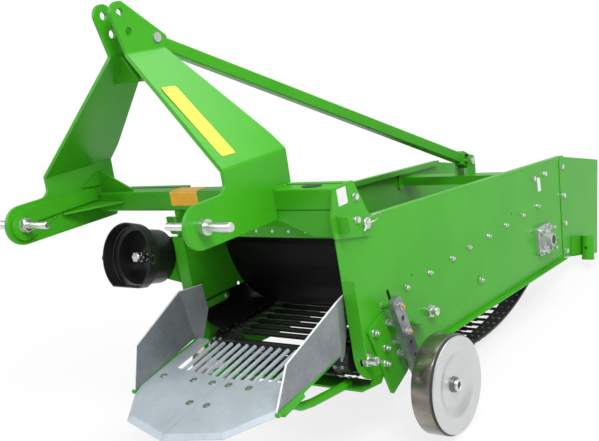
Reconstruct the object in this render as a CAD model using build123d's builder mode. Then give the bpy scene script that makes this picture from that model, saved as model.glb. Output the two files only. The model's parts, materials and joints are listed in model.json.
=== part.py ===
from build123d import *

import os
from math import acos, asin, atan2, ceil, cos, degrees, hypot, pi, radians, sin, sqrt, tan

# A mounted potato harvester. A share lifts the row, a rod web between two side walls sifts it and
# drops it behind. Millimetres. The level machine frame has X to the machine's left from the middle
# of the web, Y rearwards and Z up from the wheels' lowest points.

# ---------------------------------------------------------------- driving sizes
# road wheels
WHEEL_Y = 385.4
WHEEL_RADIUS = 151.5
WHEEL_WIDTH = 69.6
WHEEL_INNER_X = 401.6
RIM_SHEET = 9.0
DISC_SHEET = 4.0
HUB_RADIUS = 23.0
AXLE_RADIUS = 12.5
AXLE_PLAY = 0.1
SIDE_PLAY = 1.0
AXLE_CAP_RADIUS = 18.0
AXLE_CAP = 7.0

# share: its underside tip, its slope and its outline (half width, height up the slope)
TIP_Y, TIP_Z = -360.0, 55.0
SHARE_SLOPE = 25.1
SHARE_SHEET = 10.0
SHARE_HALF = 266.0
SHARE_SHOULDER = (181.0, 50.0)
SHARE_CORNER_S = 169.0
SHARE_REAR_S = 307.0
SHARE_NOTCH_S = 287.0
SHARE_BEVEL = 18.0
SHARE_EDGE = 1.5
STRIP_WIDTH = 38.0
STRIP_END_S = 470.0
FINGER_RADIUS = 5.8
FINGER_PITCH = 31.6
FINGER_COUNT = 13
FINGER_TIP_Y = 60.0

# side walls
WALL_OUT = 297.0
WALL_SHEET = 4.0
BODY_LEAN = 15.5
CORNER_Z = 158.0
CORNER_RADIUS = 95.0
WALL_SLOPE = 12.45
TOP_SLOPE = 9.84
WALL_TOP_FRONT = (194.0, 651.0)
WALL_REAR_LOW_Y = 1617.0
WALL_REAR_TOP_Y = 1572.0
TOP_FLANGE = 25.0
TOP_LIP = 20.0
BOTTOM_FLANGE = 22.0
BOTTOM_FLANGE_Y = (470.0, 1570.0)
FRONT_LIP = 40.0

# front beam, its lower front corner in the level frame; all of the head stands square to its lean
BEAM_Y, BEAM_Z = 17.0, 663.0
BEAM_DEPTH = 60.0
BEAM_HEIGHT = 63.0
BEAM_WALL = 6.0
SADDLE_DEPTH = 88.0
END_SHEET = 8.0

# hitch
HITCH_X = -305.0
HITCH_HALF = 389.0
HITCH_SHEET = 12.0
EAR_HALF = 41.5
PIN_U, PIN_W = -310.5, 40.4
LOBE_RADIUS = 62.0
FOLD_LOW_W = 165.7
FOLD_TOP_W = 506.0
FOLD_RADIUS = 16.0
EAR_HOLES = ((-122.8, FOLD_TOP_W + 117.5), (-102.9, FOLD_TOP_W + 62.1))
EAR_HOLE_RADIUS = 13.0
EAR_RADIUS = 34.0
BRACE_PIN_U, BRACE_PIN_W = 2.8, FOLD_TOP_W + 31.8
PIN_OUTER_RADIUS = 14.0
PIN_INNER_RADIUS = 11.0
PIN_OUTER_END = 495.0
PIN_INNER_END = 259.0
COLLAR = 23.5
COLLAR_RADIUS = 22.0
DOUBLER_SHEET = 8.0

# web
ROD_RADIUS = 5.5
ROD_PITCH = 42.0
DRIVE_TEETH = 16
DRIVE_Y, DRIVE_Z = 1372.0, 557.0
IDLER_Y, IDLER_Z = 163.0, 235.0
IDLER_TURN = 52.0
CARRIER_Y, CARRIER_Z = 518.0, 348.0
AGITATOR_Y, AGITATOR_Z = 861.0, 428.0
LEAVE_ANGLE = 42.0
SAG_Y, SAG_Z = 400.0, 170.0
BELT_OUT = 265.0
BELT_WIDTH = 60.0
BELT_SHEET = 8.0
BELT_DROP = 3.0
SEAT = 0.3
SHAFT_RADIUS = 17.5
IDLER_AXLE_RADIUS = 12.5
SHAFT_PLAY = 3.0

# power take-off line on the right
PTO_X, PTO_Z = -470.0, 515.0
PTO_RIM_Y = -60.0
GUARD_RADIUS = 112.0
GUARD_REAR_RADIUS = 88.0
GUARD_WALL = 4.0
STUB_RADIUS = 17.35
JOURNAL_RADIUS = 20.0
BEARING_RADIUS = 48.0
TUBE_RADIUS = 38.0

# rear
PANEL_SHEET = 3.0
PANEL_REAR_Y = 1937.0
PANEL_TOP_Z, PANEL_LOW_Z = 890.0, 488.0
CROSS_Y, CROSS_Z = 1339.0, 797.0
CROSS_LEAN = 12.0
CROSS_DEPTH = 70.0
CROSS_HEIGHT = 34.0
LUG_X, LUG_Y, LUG_Z = -15.0, 1335.0, 868.0
BRACE_WIDTH = 40.0
SOCKET_X, SOCKET_Y, SOCKET_Z = 330.0, 1755.0, 466.0

# wheel legs
LEG_IN_X = 335.0
LEG_SHEET = 20.0
LEG_WIDTH = 46.0
LEG_LEAN = 31.6
LEG_LENGTH = 318.0


# ---------------------------------------------------------------- parked frame
# At rest, with no legs in its rear sockets, the machine sits back on both wheels and the lower
# rear corners of its panels.
corner_run, corner_rise = PANEL_REAR_Y - WHEEL_Y, PANEL_LOW_Z - WHEEL_RADIUS
PARK_TILT = -degrees(atan2(corner_rise, corner_run) + asin(WHEEL_RADIUS / hypot(corner_run, corner_rise)))


def parked(y, z):
    """Rearward and upward place of a level point once the machine has sat back."""
    turn = radians(PARK_TILT)
    return y * cos(turn) - z * sin(turn), y * sin(turn) + z * cos(turn)


def leaned(u, w):
    """Level place of a point of the head, given along and square to its lean."""
    lean = radians(BODY_LEAN)
    return BEAM_Y + u * cos(lean) - w * sin(lean), BEAM_Z + u * sin(lean) + w * cos(lean)


AXLE_END = WHEEL_INNER_X + WHEEL_WIDTH + AXLE_CAP - 3.0
shift_x = (PIN_OUTER_END - HITCH_X - AXLE_END) / 2
front_end = parked(TIP_Y, TIP_Z)[0]
rear_end = parked(PANEL_REAR_Y, PANEL_TOP_Z)[0]
lift = WHEEL_RADIUS - parked(WHEEL_Y, WHEEL_RADIUS)[1]
PARK = Location((shift_x, -(front_end + rear_end) / 2, lift), (PARK_TILT, 0, 0))
HEAD = PARK * Location((0, BEAM_Y, BEAM_Z), (BODY_LEAN, 0, 0))


def side(x, place=PARK):
    """Plane across the machine at x, drawn rearwards and up, facing left."""
    return Plane(place * Plane(origin=(x, 0, 0), x_dir=(0, 1, 0), z_dir=(1, 0, 0)).location)


def front(y, place=PARK):
    """Plane facing forwards at y, drawn to the left and up."""
    return Plane(place * Plane(origin=(0, y, 0), x_dir=(1, 0, 0), z_dir=(0, -1, 0)).location)


def level(z, place=PARK):
    """Plane facing up at z, drawn to the left and rearwards."""
    return Plane(place * Plane(origin=(0, 0, z), x_dir=(1, 0, 0), z_dir=(0, 0, 1)).location)


def slab(outline, x, width, place=PARK, mode=Mode.ADD):
    """Sheet of the given side outline, from x to the left by width."""
    with BuildSketch(side(x, place)) as profile:
        Polygon(*outline, align=None)
    extrude(profile.sketch, amount=width, mode=mode)


def rounded(*corners):
    """Face of a closed outline whose corners are (across, up, radius), with radius 0 where sharp."""
    with BuildLine() as line:
        FilletPolyline(*[c[:2] for c in corners], radius=[c[2] for c in corners], close=True)
    make_face(line.edges())


def bar(centre, radius, x, length, place=PARK, mode=Mode.ADD):
    """Round bar across the machine, from x to the left by length."""
    with BuildSketch(side(x, place)) as profile:
        with Locations(centre):
            Circle(radius)
    extrude(profile.sketch, amount=length, mode=mode)


def tube(centre, radius, bore, x, length, place=PARK):
    """Round tube across the machine, from x to the left by length."""
    with BuildSketch(side(x, place)) as profile:
        with Locations(centre):
            Circle(radius)
            Circle(bore, mode=Mode.SUBTRACT)
    extrude(profile.sketch, amount=length)


pieces = {}
os.makedirs("parts", exist_ok=True)


def keep(name, piece):
    """Labels a finished piece and files it under its node's name."""
    piece.label = name
    pieces[name] = piece


# ---------------------------------------------------------------- hitch
# Two folded plates rise from the lower pins and lean in to the ears of the top link.
EAR_X = HITCH_X + EAR_HALF
PLATE_X = HITCH_X + HITCH_HALF
PLATE_LOW_W = -27.0
PLATE_REAR_U = 72.0
PLATE_FRONT_U = -190.0
EAR_FRONT_U = -127.5
EAR_FOOT_U = 28.0
EAR_REAR = (33.0, FOLD_TOP_W + 27)
EAR_REAR_RADIUS = 12.0
hitch_middle = side(HITCH_X, HEAD)
with BuildPart() as hitch_plates:
    head_width = PLATE_X - EAR_X + HITCH_SHEET + 2
    with BuildSketch(side(EAR_X - HITCH_SHEET - 1, HEAD)):
        rounded(
            (PIN_U, PIN_W - LOBE_RADIUS, 0),
            (PLATE_REAR_U, PLATE_LOW_W, 10),
            (PLATE_REAR_U, BEAM_HEIGHT / 2, 0),
            (SADDLE_DEPTH - 2, BEAM_HEIGHT / 2, 0),
            (91, 210, 150),
            (EAR_FOOT_U, FOLD_TOP_W, 0),
            (EAR_FRONT_U, FOLD_TOP_W, 0),
            (PLATE_FRONT_U, FOLD_LOW_W, 30),
            (PLATE_FRONT_U, PIN_W + LOBE_RADIUS, 30),
            (PIN_U, PIN_W + LOBE_RADIUS, 0),
        )
        with Locations((PIN_U, PIN_W)):
            Circle(LOBE_RADIUS)
    extrude(amount=head_width)
    with BuildSketch(side(EAR_X - HITCH_SHEET - 1, HEAD)):
        with Locations(EAR_HOLES[0]):
            Circle(EAR_RADIUS)
        with Locations(EAR_REAR):
            Circle(EAR_REAR_RADIUS)
        with Locations((EAR_FRONT_U + 1, FOLD_TOP_W - 1), (EAR_FOOT_U - 1, FOLD_TOP_W - 1)):
            Circle(1)
        make_hull()
    extrude(amount=head_width)
    with BuildSketch(front(2 * LOBE_RADIUS, HEAD)):
        with BuildLine():
            fold = FilletPolyline(
                (PLATE_X, PLATE_LOW_W - LOBE_RADIUS),
                (PLATE_X, FOLD_LOW_W),
                (EAR_X, FOLD_TOP_W),
                (EAR_X, EAR_HOLES[0][1] + 2 * EAR_RADIUS),
                radius=FOLD_RADIUS,
            )
            offset(fold, amount=HITCH_SHEET, side=Side.LEFT)
        make_face()
    extrude(amount=4 * LOBE_RADIUS - PIN_U, mode=Mode.INTERSECT)
    beam_slot = ((0, 0), (SADDLE_DEPTH, 0), (SADDLE_DEPTH, BEAM_HEIGHT), (0, BEAM_HEIGHT))
    slab(beam_slot, PLATE_X - 2 * HITCH_SHEET, 3 * HITCH_SHEET, HEAD, Mode.SUBTRACT)
    bar((PIN_U, PIN_W), PIN_INNER_RADIUS, PLATE_X - 2 * HITCH_SHEET, 3 * HITCH_SHEET, HEAD, Mode.SUBTRACT)
    for hole in EAR_HOLES:
        bar(hole, EAR_HOLE_RADIUS, EAR_X - 2 * HITCH_SHEET, 3 * HITCH_SHEET, HEAD, Mode.SUBTRACT)
    bar((BRACE_PIN_U, BRACE_PIN_W), PIN_INNER_RADIUS, EAR_X - 2 * HITCH_SHEET, 3 * HITCH_SHEET, HEAD, Mode.SUBTRACT)
    mirror(about=hitch_middle)
keep("hitch_plates", hitch_plates.part)

# Doubler bars on the plates' inner faces carry the pins back to the beam.
with BuildPart() as hitch_doublers:
    with BuildSketch(side(PLATE_X - HITCH_SHEET - DOUBLER_SHEET, HEAD)):
        rounded(
            (PIN_U, PIN_W, 0),
            (-160, 43, 0),
            (-10, 43, 6),
            (-10, 87, 16),
            (PIN_U, PIN_W + 0.77 * LOBE_RADIUS, 0),
        )
        with Locations((PIN_U, PIN_W)):
            Circle(0.77 * LOBE_RADIUS)
            Circle(PIN_INNER_RADIUS, mode=Mode.SUBTRACT)
    extrude(amount=DOUBLER_SHEET)
    mirror(about=hitch_middle)
keep("hitch_doublers", hitch_doublers.part)

# Stepped lower pins: a thick end outside the plates and a thin end inside them.
with BuildPart() as hitch_pins:
    pin = (PIN_U, PIN_W)
    inside = PLATE_X - HITCH_SHEET - DOUBLER_SHEET
    bar(pin, PIN_INNER_RADIUS, HITCH_X + PIN_INNER_END, PIN_OUTER_END - PIN_INNER_END, HEAD)
    bar(pin, PIN_OUTER_RADIUS, PLATE_X, PIN_OUTER_END - HITCH_HALF, HEAD)
    bar(pin, COLLAR_RADIUS, PLATE_X, COLLAR, HEAD)
    with BuildSketch(side(inside - 16, HEAD)):
        with Locations(pin):
            RegularPolygon(17, 6, major_radius=False)
    extrude(amount=16)
    chamfer(edges().filter_by(GeomType.CIRCLE).group_by(Axis.X)[-1], 2.5)
    chamfer(edges().filter_by(GeomType.CIRCLE).group_by(Axis.X)[0], 2.5)
    mirror(about=hitch_middle)
keep("hitch_pins", hitch_pins.part)

# Gussets between the plates and the beam: one across the beam's top, one flat before it, and a toe.
GUSSET_SHEET = 6.0
GUSSET_U = 24.0
GUSSET_TOP_W = 133.0
GUSSET_REACH = 150.0
FLAT_GUSSET_W = 31.0
with BuildPart() as hitch_gussets:
    inner = PLATE_X - HITCH_SHEET
    with BuildSketch(front(GUSSET_U + GUSSET_SHEET, HEAD)):
        Polygon(
            (inner, BEAM_HEIGHT),
            (inner, GUSSET_TOP_W),
            (inner - 12, GUSSET_TOP_W),
            (inner - GUSSET_REACH, BEAM_HEIGHT + 4),
            (inner - GUSSET_REACH, BEAM_HEIGHT),
            align=None,
        )
    extrude(amount=GUSSET_SHEET)
    with BuildSketch(level(FLAT_GUSSET_W, HEAD)):
        Polygon((inner, 0), (inner, -160), (inner - 10, -160), (inner - 128, -6), (inner - 128, 0), align=None)
    extrude(amount=GUSSET_SHEET)
    slab(
        ((-60, 97), (GUSSET_U, GUSSET_TOP_W), (GUSSET_U, 89), (-9, 89)),
        inner - GUSSET_SHEET,
        GUSSET_SHEET,
        HEAD,
    )
    mirror(about=hitch_middle)
keep("hitch_gussets", hitch_gussets.part)

# Folded plate that ties the two leaning plates together below the ears.
TIE_U = -62.0
TIE_LOW_W, TIE_TOP_W = FOLD_TOP_W - 88, FOLD_TOP_W - 6
with BuildPart() as hitch_cross:
    slope = (PLATE_X - EAR_X) / (FOLD_TOP_W - FOLD_LOW_W)
    sheet_across = HITCH_SHEET / sin(atan2(1, slope))

    def gap_half(w):
        """Half the space between the leaning plates at height w."""
        return EAR_HALF + (FOLD_TOP_W - w) * slope - sheet_across

    with BuildSketch(front(TIE_U + GUSSET_SHEET, HEAD)):
        Polygon(
            (HITCH_X - gap_half(TIE_LOW_W), TIE_LOW_W),
            (HITCH_X + gap_half(TIE_LOW_W), TIE_LOW_W),
            (HITCH_X + gap_half(TIE_TOP_W), TIE_TOP_W),
            (HITCH_X - gap_half(TIE_TOP_W), TIE_TOP_W),
            align=None,
        )
    extrude(amount=GUSSET_SHEET)
    slab(
        ((TIE_U, TIE_LOW_W), (TIE_U, TIE_TOP_W), (TIE_U - 52, TIE_TOP_W)),
        HITCH_X - GUSSET_SHEET / 2,
        GUSSET_SHEET,
        HEAD,
    )
keep("hitch_cross", hitch_cross.part)

# ---------------------------------------------------------------- front beam
BEAM_LEFT = WALL_OUT
BEAM_RIGHT = HITCH_X - HITCH_HALF
with BuildPart() as main_beam:
    with BuildSketch(side(BEAM_RIGHT, HEAD)):
        with Locations((BEAM_DEPTH / 2, BEAM_HEIGHT / 2)):
            RectangleRounded(BEAM_DEPTH, BEAM_HEIGHT, 6)
            Rectangle(BEAM_DEPTH - 2 * BEAM_WALL, BEAM_HEIGHT - 2 * BEAM_WALL, mode=Mode.SUBTRACT)
    extrude(amount=BEAM_LEFT - BEAM_RIGHT)
keep("main_beam", main_beam.part)

# Two boxes behind the beam deepen it over the hitch plate and over the right wall.
SADDLES = ((PLATE_X + 1, BEAM_LEFT), (-612, -320))
with BuildPart() as beam_saddles:
    with BuildSketch(level(0, HEAD)):
        for right, left in SADDLES:
            rounded(
                (right, BEAM_DEPTH, 0),
                (left, BEAM_DEPTH, 0),
                (left, SADDLE_DEPTH, 14),
                (right, SADDLE_DEPTH, 14),
            )
    extrude(amount=BEAM_HEIGHT)
keep("beam_saddles", beam_saddles.part)

# End plates close the beam over each wall and bolt to the wall's outer face.
with BuildPart() as beam_end_plates:
    with BuildSketch(side(WALL_OUT, HEAD)):
        rounded(
            (-5, BEAM_HEIGHT + 2, 4),
            (SADDLE_DEPTH, BEAM_HEIGHT + 2, 8),
            (154, -76, 10),
            (128, -109, 10),
            (-34, -73, 4),
            (-34, -14, 4),
        )
    extrude(amount=END_SHEET)
    with BuildSketch(side(-WALL_OUT - END_SHEET, HEAD)):
        rounded((-1, 0, 0), (SADDLE_DEPTH, 0, 0), (154, -76, 10), (128, -109, 10), (-34, -73, 4), (-34, -14, 4))
    extrude(amount=END_SHEET)
keep("beam_end_plates", beam_end_plates.part)

# Front plates under the beam, and the tab at each end of it.
BRACKET_SHEET = 8.0
BRACKET_DROP = 76.0
TAB_REACH = 40.0
with BuildPart() as beam_brackets:
    with BuildSketch(front(BRACKET_SHEET, HEAD)):
        Polygon(
            (PLATE_X + 1, 0),
            (WALL_OUT - WALL_SHEET, 0),
            (WALL_OUT - WALL_SHEET, -BRACKET_DROP),
            (PLATE_X + 121, -BRACKET_DROP),
            (PLATE_X + 1, PLATE_LOW_W),
            align=None,
        )
        Polygon(
            (-332, 0),
            (-WALL_OUT - END_SHEET, 0),
            (-WALL_OUT - END_SHEET, -BRACKET_DROP),
            (-364, -BRACKET_DROP),
            (-375, -58),
            (-375, -20),
            (-332, -20),
            align=None,
        )
    extrude(amount=BRACKET_SHEET)
    left_tab = WALL_OUT + END_SHEET
    with BuildSketch(front(-8, HEAD)):
        rounded((left_tab, -14, 0), (left_tab, -62, 0), (left_tab + TAB_REACH, -62, 12), (left_tab + TAB_REACH, -14, 4))
    extrude(amount=BRACKET_SHEET)
keep("beam_brackets", beam_brackets.part)

# ---------------------------------------------------------------- side walls
# The front edge is square to the head's lean, the long edges rise rearwards.
lean = radians(BODY_LEAN)


def front_edge(z):
    """Y of the walls' front edge at height z, measured from a point on it."""
    return 108.0 - (z - 241.0) * tan(lean)


low_front_z = CORNER_Z
low_y = front_edge(low_front_z)


def low_edge(y):
    """Height of the walls' lower edge at y."""
    return low_front_z + (y - low_y) * tan(radians(WALL_SLOPE))


def top_edge(y):
    """Height of the walls' upper edge at y."""
    return WALL_TOP_FRONT[1] + (y - WALL_TOP_FRONT[0]) * tan(radians(TOP_SLOPE))


beam_front_low = leaned(-24, 0)
beam_rear_low = leaned(SADDLE_DEPTH, 0)
wall_outline = (
    (low_y, low_front_z, CORNER_RADIUS),
    (WALL_REAR_LOW_Y, low_edge(WALL_REAR_LOW_Y), 0),
    (WALL_REAR_TOP_Y, top_edge(WALL_REAR_TOP_Y), 0),
    (*WALL_TOP_FRONT, 0),
    (*beam_rear_low, 0),
    (*beam_front_low, 0),
)
top_ends = (WALL_TOP_FRONT[0], WALL_REAR_TOP_Y)
top_strip = (
    *[(y, top_edge(y)) for y in top_ends],
    *[(y, top_edge(y) - WALL_SHEET) for y in reversed(top_ends)],
)
top_return = (
    *[(y, top_edge(y)) for y in top_ends],
    *[(y, top_edge(y) - TOP_LIP) for y in reversed(top_ends)],
)
low_strip = (
    *[(y, low_edge(y)) for y in BOTTOM_FLANGE_Y],
    *[(y, low_edge(y) + WALL_SHEET) for y in reversed(BOTTOM_FLANGE_Y)],
)
LIP_TOP_Z, LIP_LOW_Z = 580.0, 244.0
LEFT_LIP_TOP_Z = 468.0
SLOT = ((283.5, 412.5), 40.0, 14.0)
AXLE_SLOT = 34.0
WALL_HOLES = ((413.0, 466.0), (1105.5, 655.0), (1518.0, 550.0))
WALL_HOLE_RADIUS = 4.5


def lip_strip(top_z):
    """Side outline of the folded front lip up to top_z."""
    across = WALL_SHEET / cos(lean)
    return (
        (front_edge(LIP_LOW_Z), LIP_LOW_Z),
        (front_edge(LIP_LOW_Z) + across, LIP_LOW_Z),
        (front_edge(top_z) + across, top_z),
        (front_edge(top_z), top_z),
    )


# name, the side it stands on (1 left, -1 right) and the height of its front lip
WALLS = (("side_wall_left", 1, LEFT_LIP_TOP_Z), ("side_wall_right", -1, LIP_TOP_Z))
for name, hand, lip_top in WALLS:
    face_in = hand * (WALL_OUT - WALL_SHEET)
    with BuildPart() as side_wall:
        with BuildSketch(side(face_in)):
            rounded(*wall_outline)
            with Locations(Location(SLOT[0], -60)):
                SlotOverall(SLOT[1], SLOT[2], mode=Mode.SUBTRACT)
            with Locations(Location((IDLER_Y, IDLER_Z), WALL_SLOPE)):
                SlotCenterToCenter(AXLE_SLOT, 2 * IDLER_AXLE_RADIUS + 2, mode=Mode.SUBTRACT)
            with Locations((CARRIER_Y, CARRIER_Z), (AGITATOR_Y, AGITATOR_Z)):
                Circle(IDLER_AXLE_RADIUS + AXLE_PLAY, mode=Mode.SUBTRACT)
            with Locations((DRIVE_Y, DRIVE_Z)):
                Circle(SHAFT_RADIUS + SHAFT_PLAY, mode=Mode.SUBTRACT)
            with Locations(*WALL_HOLES):
                Circle(WALL_HOLE_RADIUS, mode=Mode.SUBTRACT)
        extrude(amount=hand * WALL_SHEET)
        slab(top_strip, face_in, -hand * (TOP_FLANGE - WALL_SHEET))
        slab(top_return, hand * (WALL_OUT - TOP_FLANGE), hand * WALL_SHEET)
        slab(low_strip, hand * WALL_OUT, hand * BOTTOM_FLANGE)
        slab(lip_strip(lip_top), hand * WALL_OUT, hand * FRONT_LIP)
    keep(name, side_wall.part)

# Rear panels lengthen the walls past the end of the web.
OVERLAP = 45.0
panel_outline = (
    (WALL_REAR_LOW_Y - OVERLAP + 4, low_edge(WALL_REAR_LOW_Y) - 6, 0),
    (PANEL_REAR_Y, PANEL_LOW_Z, 0),
    (PANEL_REAR_Y, PANEL_TOP_Z, 0),
    (WALL_REAR_TOP_Y - OVERLAP + 16, PANEL_TOP_Z - 6, 0),
    (WALL_REAR_TOP_Y - OVERLAP, PANEL_TOP_Z - 22, 0),
)
with BuildPart() as rear_panels:
    with BuildSketch(side(WALL_OUT)):
        rounded(*panel_outline)
    extrude(amount=PANEL_SHEET)
    mirror(about=side(0))
keep("rear_panels", rear_panels.part)

# Upright sockets outside the rear panels.
SOCKET_RADIUS, SOCKET_BORE = 25.0, 20.5
SOCKET_HEIGHT = 98.0
SOCKET_HOLE_RADIUS = 6.0
with BuildPart() as rear_sockets:
    with BuildSketch(level(SOCKET_Z)):
        with Locations((SOCKET_X, SOCKET_Y)):
            Circle(SOCKET_RADIUS)
            Circle(SOCKET_BORE, mode=Mode.SUBTRACT)
    extrude(amount=SOCKET_HEIGHT)
    panel_face = WALL_OUT + PANEL_SHEET
    slab(
        (
            (SOCKET_Y - 109, PANEL_LOW_Z),
            (SOCKET_Y, PANEL_LOW_Z),
            (SOCKET_Y, SOCKET_Z + SOCKET_HEIGHT),
            (SOCKET_Y - 109, SOCKET_Z + SOCKET_HEIGHT),
        ),
        panel_face,
        5,
    )
    with BuildSketch(front(SOCKET_Y + SOCKET_RADIUS + 1)):
        with Locations((SOCKET_X, SOCKET_Z + SOCKET_HEIGHT / 2)):
            Circle(SOCKET_HOLE_RADIUS)
    extrude(amount=2 * SOCKET_RADIUS + 2, mode=Mode.SUBTRACT)
    mirror(about=side(0))
keep("rear_sockets", rear_sockets.part)

# Rear cross beam between the walls, with its end plates and the brace's lugs.
CROSS = PARK * Location((0, CROSS_Y, CROSS_Z), (CROSS_LEAN, 0, 0))
CROSS_WALL = 4.0
wall_in = WALL_OUT - WALL_SHEET
LUG_SHEET = 10.0
LUG_GAP = BRACE_WIDTH + 2.0
with BuildPart() as rear_beam:
    with BuildSketch(side(-wall_in, CROSS)):
        Rectangle(CROSS_DEPTH, CROSS_HEIGHT)
        Rectangle(CROSS_DEPTH - 2 * CROSS_WALL, CROSS_HEIGHT - 2 * CROSS_WALL, mode=Mode.SUBTRACT)
    extrude(amount=2 * wall_in)
    for x in (wall_in - 6, -wall_in):
        with BuildSketch(side(x, CROSS)):
            RectangleRounded(2 * CROSS_DEPTH, 60, 8)
        extrude(amount=6)
    for x in (LUG_X + LUG_GAP / 2, LUG_X - LUG_GAP / 2 - LUG_SHEET):
        lug_foot = CROSS_Z + CROSS_HEIGHT / 2 - 12
        with BuildSketch(side(x)):
            with Locations((LUG_Y, LUG_Z)):
                Circle(24)
            Polygon(
                (LUG_Y - 30, lug_foot),
                (LUG_Y + 30, lug_foot + 12),
                (LUG_Y + 24, LUG_Z),
                (LUG_Y - 24, LUG_Z),
                align=None,
            )
            with Locations((LUG_Y, LUG_Z)):
                Circle(PIN_INNER_RADIUS, mode=Mode.SUBTRACT)
        extrude(amount=LUG_SHEET)
keep("rear_beam", rear_beam.part)

# ---------------------------------------------------------------- brace
# Square tube from the ears to the rear beam, with an eye in a folded yoke at each end.
brace_y, brace_z = leaned(BRACE_PIN_U, BRACE_PIN_W)
brace_from = Vector(HITCH_X, brace_y, brace_z)
brace_to = Vector(LUG_X, LUG_Y, LUG_Z)
brace_run = brace_to - brace_from
BRACE_WALL = 4.0
EYE_INSET = 46.0
EYE_SHEET = 16.0
YOKE_WIDTH = 34.0
YOKE_HALF = 27.0
YOKE_SHEET = 6.0
YOKE_LIP = 8.0
YOKE_IN = YOKE_HALF - YOKE_SHEET
YOKE_CHANNEL = (
    (-YOKE_LIP, YOKE_HALF),
    (EYE_INSET + YOKE_SHEET, YOKE_HALF),
    (EYE_INSET + YOKE_SHEET, -YOKE_HALF),
    (-YOKE_LIP, -YOKE_HALF),
    (-YOKE_LIP, -YOKE_IN),
    (EYE_INSET - YOKE_SHEET, -YOKE_IN),
    (EYE_INSET - YOKE_SHEET, YOKE_IN),
    (-YOKE_LIP, YOKE_IN),
)
with BuildPart() as brace:
    along = brace_run.normalized()
    start = brace_from + along * EYE_INSET
    level_way = Vector(along.Y, -along.X, 0)
    tube_plane = Plane(PARK * Plane(origin=start, x_dir=level_way, z_dir=along).location)
    with BuildSketch(tube_plane):
        RectangleRounded(BRACE_WIDTH, BRACE_WIDTH, 5)
        Rectangle(BRACE_WIDTH - 2 * BRACE_WALL, BRACE_WIDTH - 2 * BRACE_WALL, mode=Mode.SUBTRACT)
    extrude(amount=brace_run.length - 2 * EYE_INSET)
    for eye, toward in ((brace_from, along), (brace_to, -along)):
        with BuildSketch(side(eye.X - EYE_SHEET / 2)):
            with Locations((eye.Y, eye.Z)):
                Circle(22)
            with BuildLine():
                reach_in = eye + toward * (EYE_INSET + 25)
                across = Vector(0, -toward.Z, toward.Y).normalized() * 16
                Polyline(
                    *[(p.Y, p.Z) for p in (eye + across, reach_in + across, reach_in - across, eye - across)],
                    close=True,
                )
            make_face()
            with Locations((eye.Y, eye.Z)):
                Circle(PIN_INNER_RADIUS, mode=Mode.SUBTRACT)
        extrude(amount=EYE_SHEET)
        yoke_run = Vector(0, toward.Y, toward.Z).normalized()
        yoke_rise = Vector(0, -yoke_run.Z, yoke_run.Y)
        corners = [eye + yoke_run * run + yoke_rise * rise for run, rise in YOKE_CHANNEL]
        slab([(corner.Y, corner.Z) for corner in corners], eye.X - YOKE_WIDTH / 2, YOKE_WIDTH)
keep("brace", brace.part)

# A pin through each end of the brace.
PIN_FIT = 0.2
PIN_HEAD = 5.0
with BuildPart() as brace_pins:
    ear_span = 2 * EAR_HALF
    lug_span = LUG_GAP + 2 * LUG_SHEET
    front_pin = (brace_y, brace_z)
    rear_pin = (LUG_Y, LUG_Z)
    bar(front_pin, PIN_INNER_RADIUS - PIN_FIT, HITCH_X - ear_span / 2 - PIN_HEAD, ear_span + 2 * PIN_HEAD)
    bar(front_pin, PIN_INNER_RADIUS + 4, HITCH_X + ear_span / 2, PIN_HEAD)
    bar(rear_pin, PIN_INNER_RADIUS - PIN_FIT, LUG_X - lug_span / 2 - PIN_HEAD, lug_span + 2 * PIN_HEAD)
    bar(rear_pin, PIN_INNER_RADIUS + 4, LUG_X + lug_span / 2, PIN_HEAD)
keep("brace_pins", brace_pins.part)

# ---------------------------------------------------------------- web
# The web's line runs through its rods: round the idler, straight up to the drive, round it, and back
# on a curve that sags under its own weight.
DRIVE_TURN = DRIVE_TEETH * ROD_PITCH / (2 * pi)
idler = Vector(IDLER_Y, IDLER_Z)
drive = Vector(DRIVE_Y, DRIVE_Z)
sag = Vector(SAG_Y, SAG_Z)


def heading(angle):
    """Unit vector at an angle in degrees above the rearward direction."""
    return Vector(cos(radians(angle)), sin(radians(angle)))


def turn_points(centre, radius, angle_from, angle_to):
    """Points along an arc, about 2 mm apart."""
    steps = ceil(abs(radians(angle_to - angle_from)) * radius / 2)
    return [centre + heading(angle_from + (angle_to - angle_from) * i / steps) * radius for i in range(steps + 1)]


span = drive - idler
span_angle = degrees(atan2(span.Y, span.X))
upper_angle = span_angle + 90 + degrees(asin((DRIVE_TURN - IDLER_TURN) / span.length))
upper_normal = heading(upper_angle)
upper_offset = upper_normal.dot(idler) + IDLER_TURN
back = sag - idler
arrive_angle = degrees(atan2(back.Y, back.X)) - degrees(acos(IDLER_TURN / back.length))
leave_angle = LEAVE_ANGLE - 90
leave = drive + heading(leave_angle) * DRIVE_TURN
droop = tan(radians(LEAVE_ANGLE)) * (leave.X - sag.X) / (leave.Y - sag.Y)
slack_steps = ceil((leave.X - sag.X) / 2)
slack = []
for i in range(1, slack_steps + 1):
    along_slack = 1 - i / slack_steps
    slack.append(sag + Vector((leave.X - sag.X) * along_slack, (leave.Y - sag.Y) * along_slack**droop))
line = (
    turn_points(idler, IDLER_TURN, arrive_angle + 360, upper_angle)
    + turn_points(drive, DRIVE_TURN, upper_angle, leave_angle)
    + slack
)
lengths = [0.0]
for near, far in zip(line, line[1:] + line[:1]):
    lengths.append(lengths[-1] + (far - near).length)
rod_count = round(lengths[-1] / ROD_PITCH)
rod_spacing = lengths[-1] / rod_count


def web_point(run):
    """Point of the web's line at a distance run along it."""
    run = run % lengths[-1]
    i = max(k for k, done in enumerate(lengths) if done <= run)
    near, far = line[i % len(line)], line[(i + 1) % len(line)]
    return near + (far - near).normalized() * (run - lengths[i])


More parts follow.
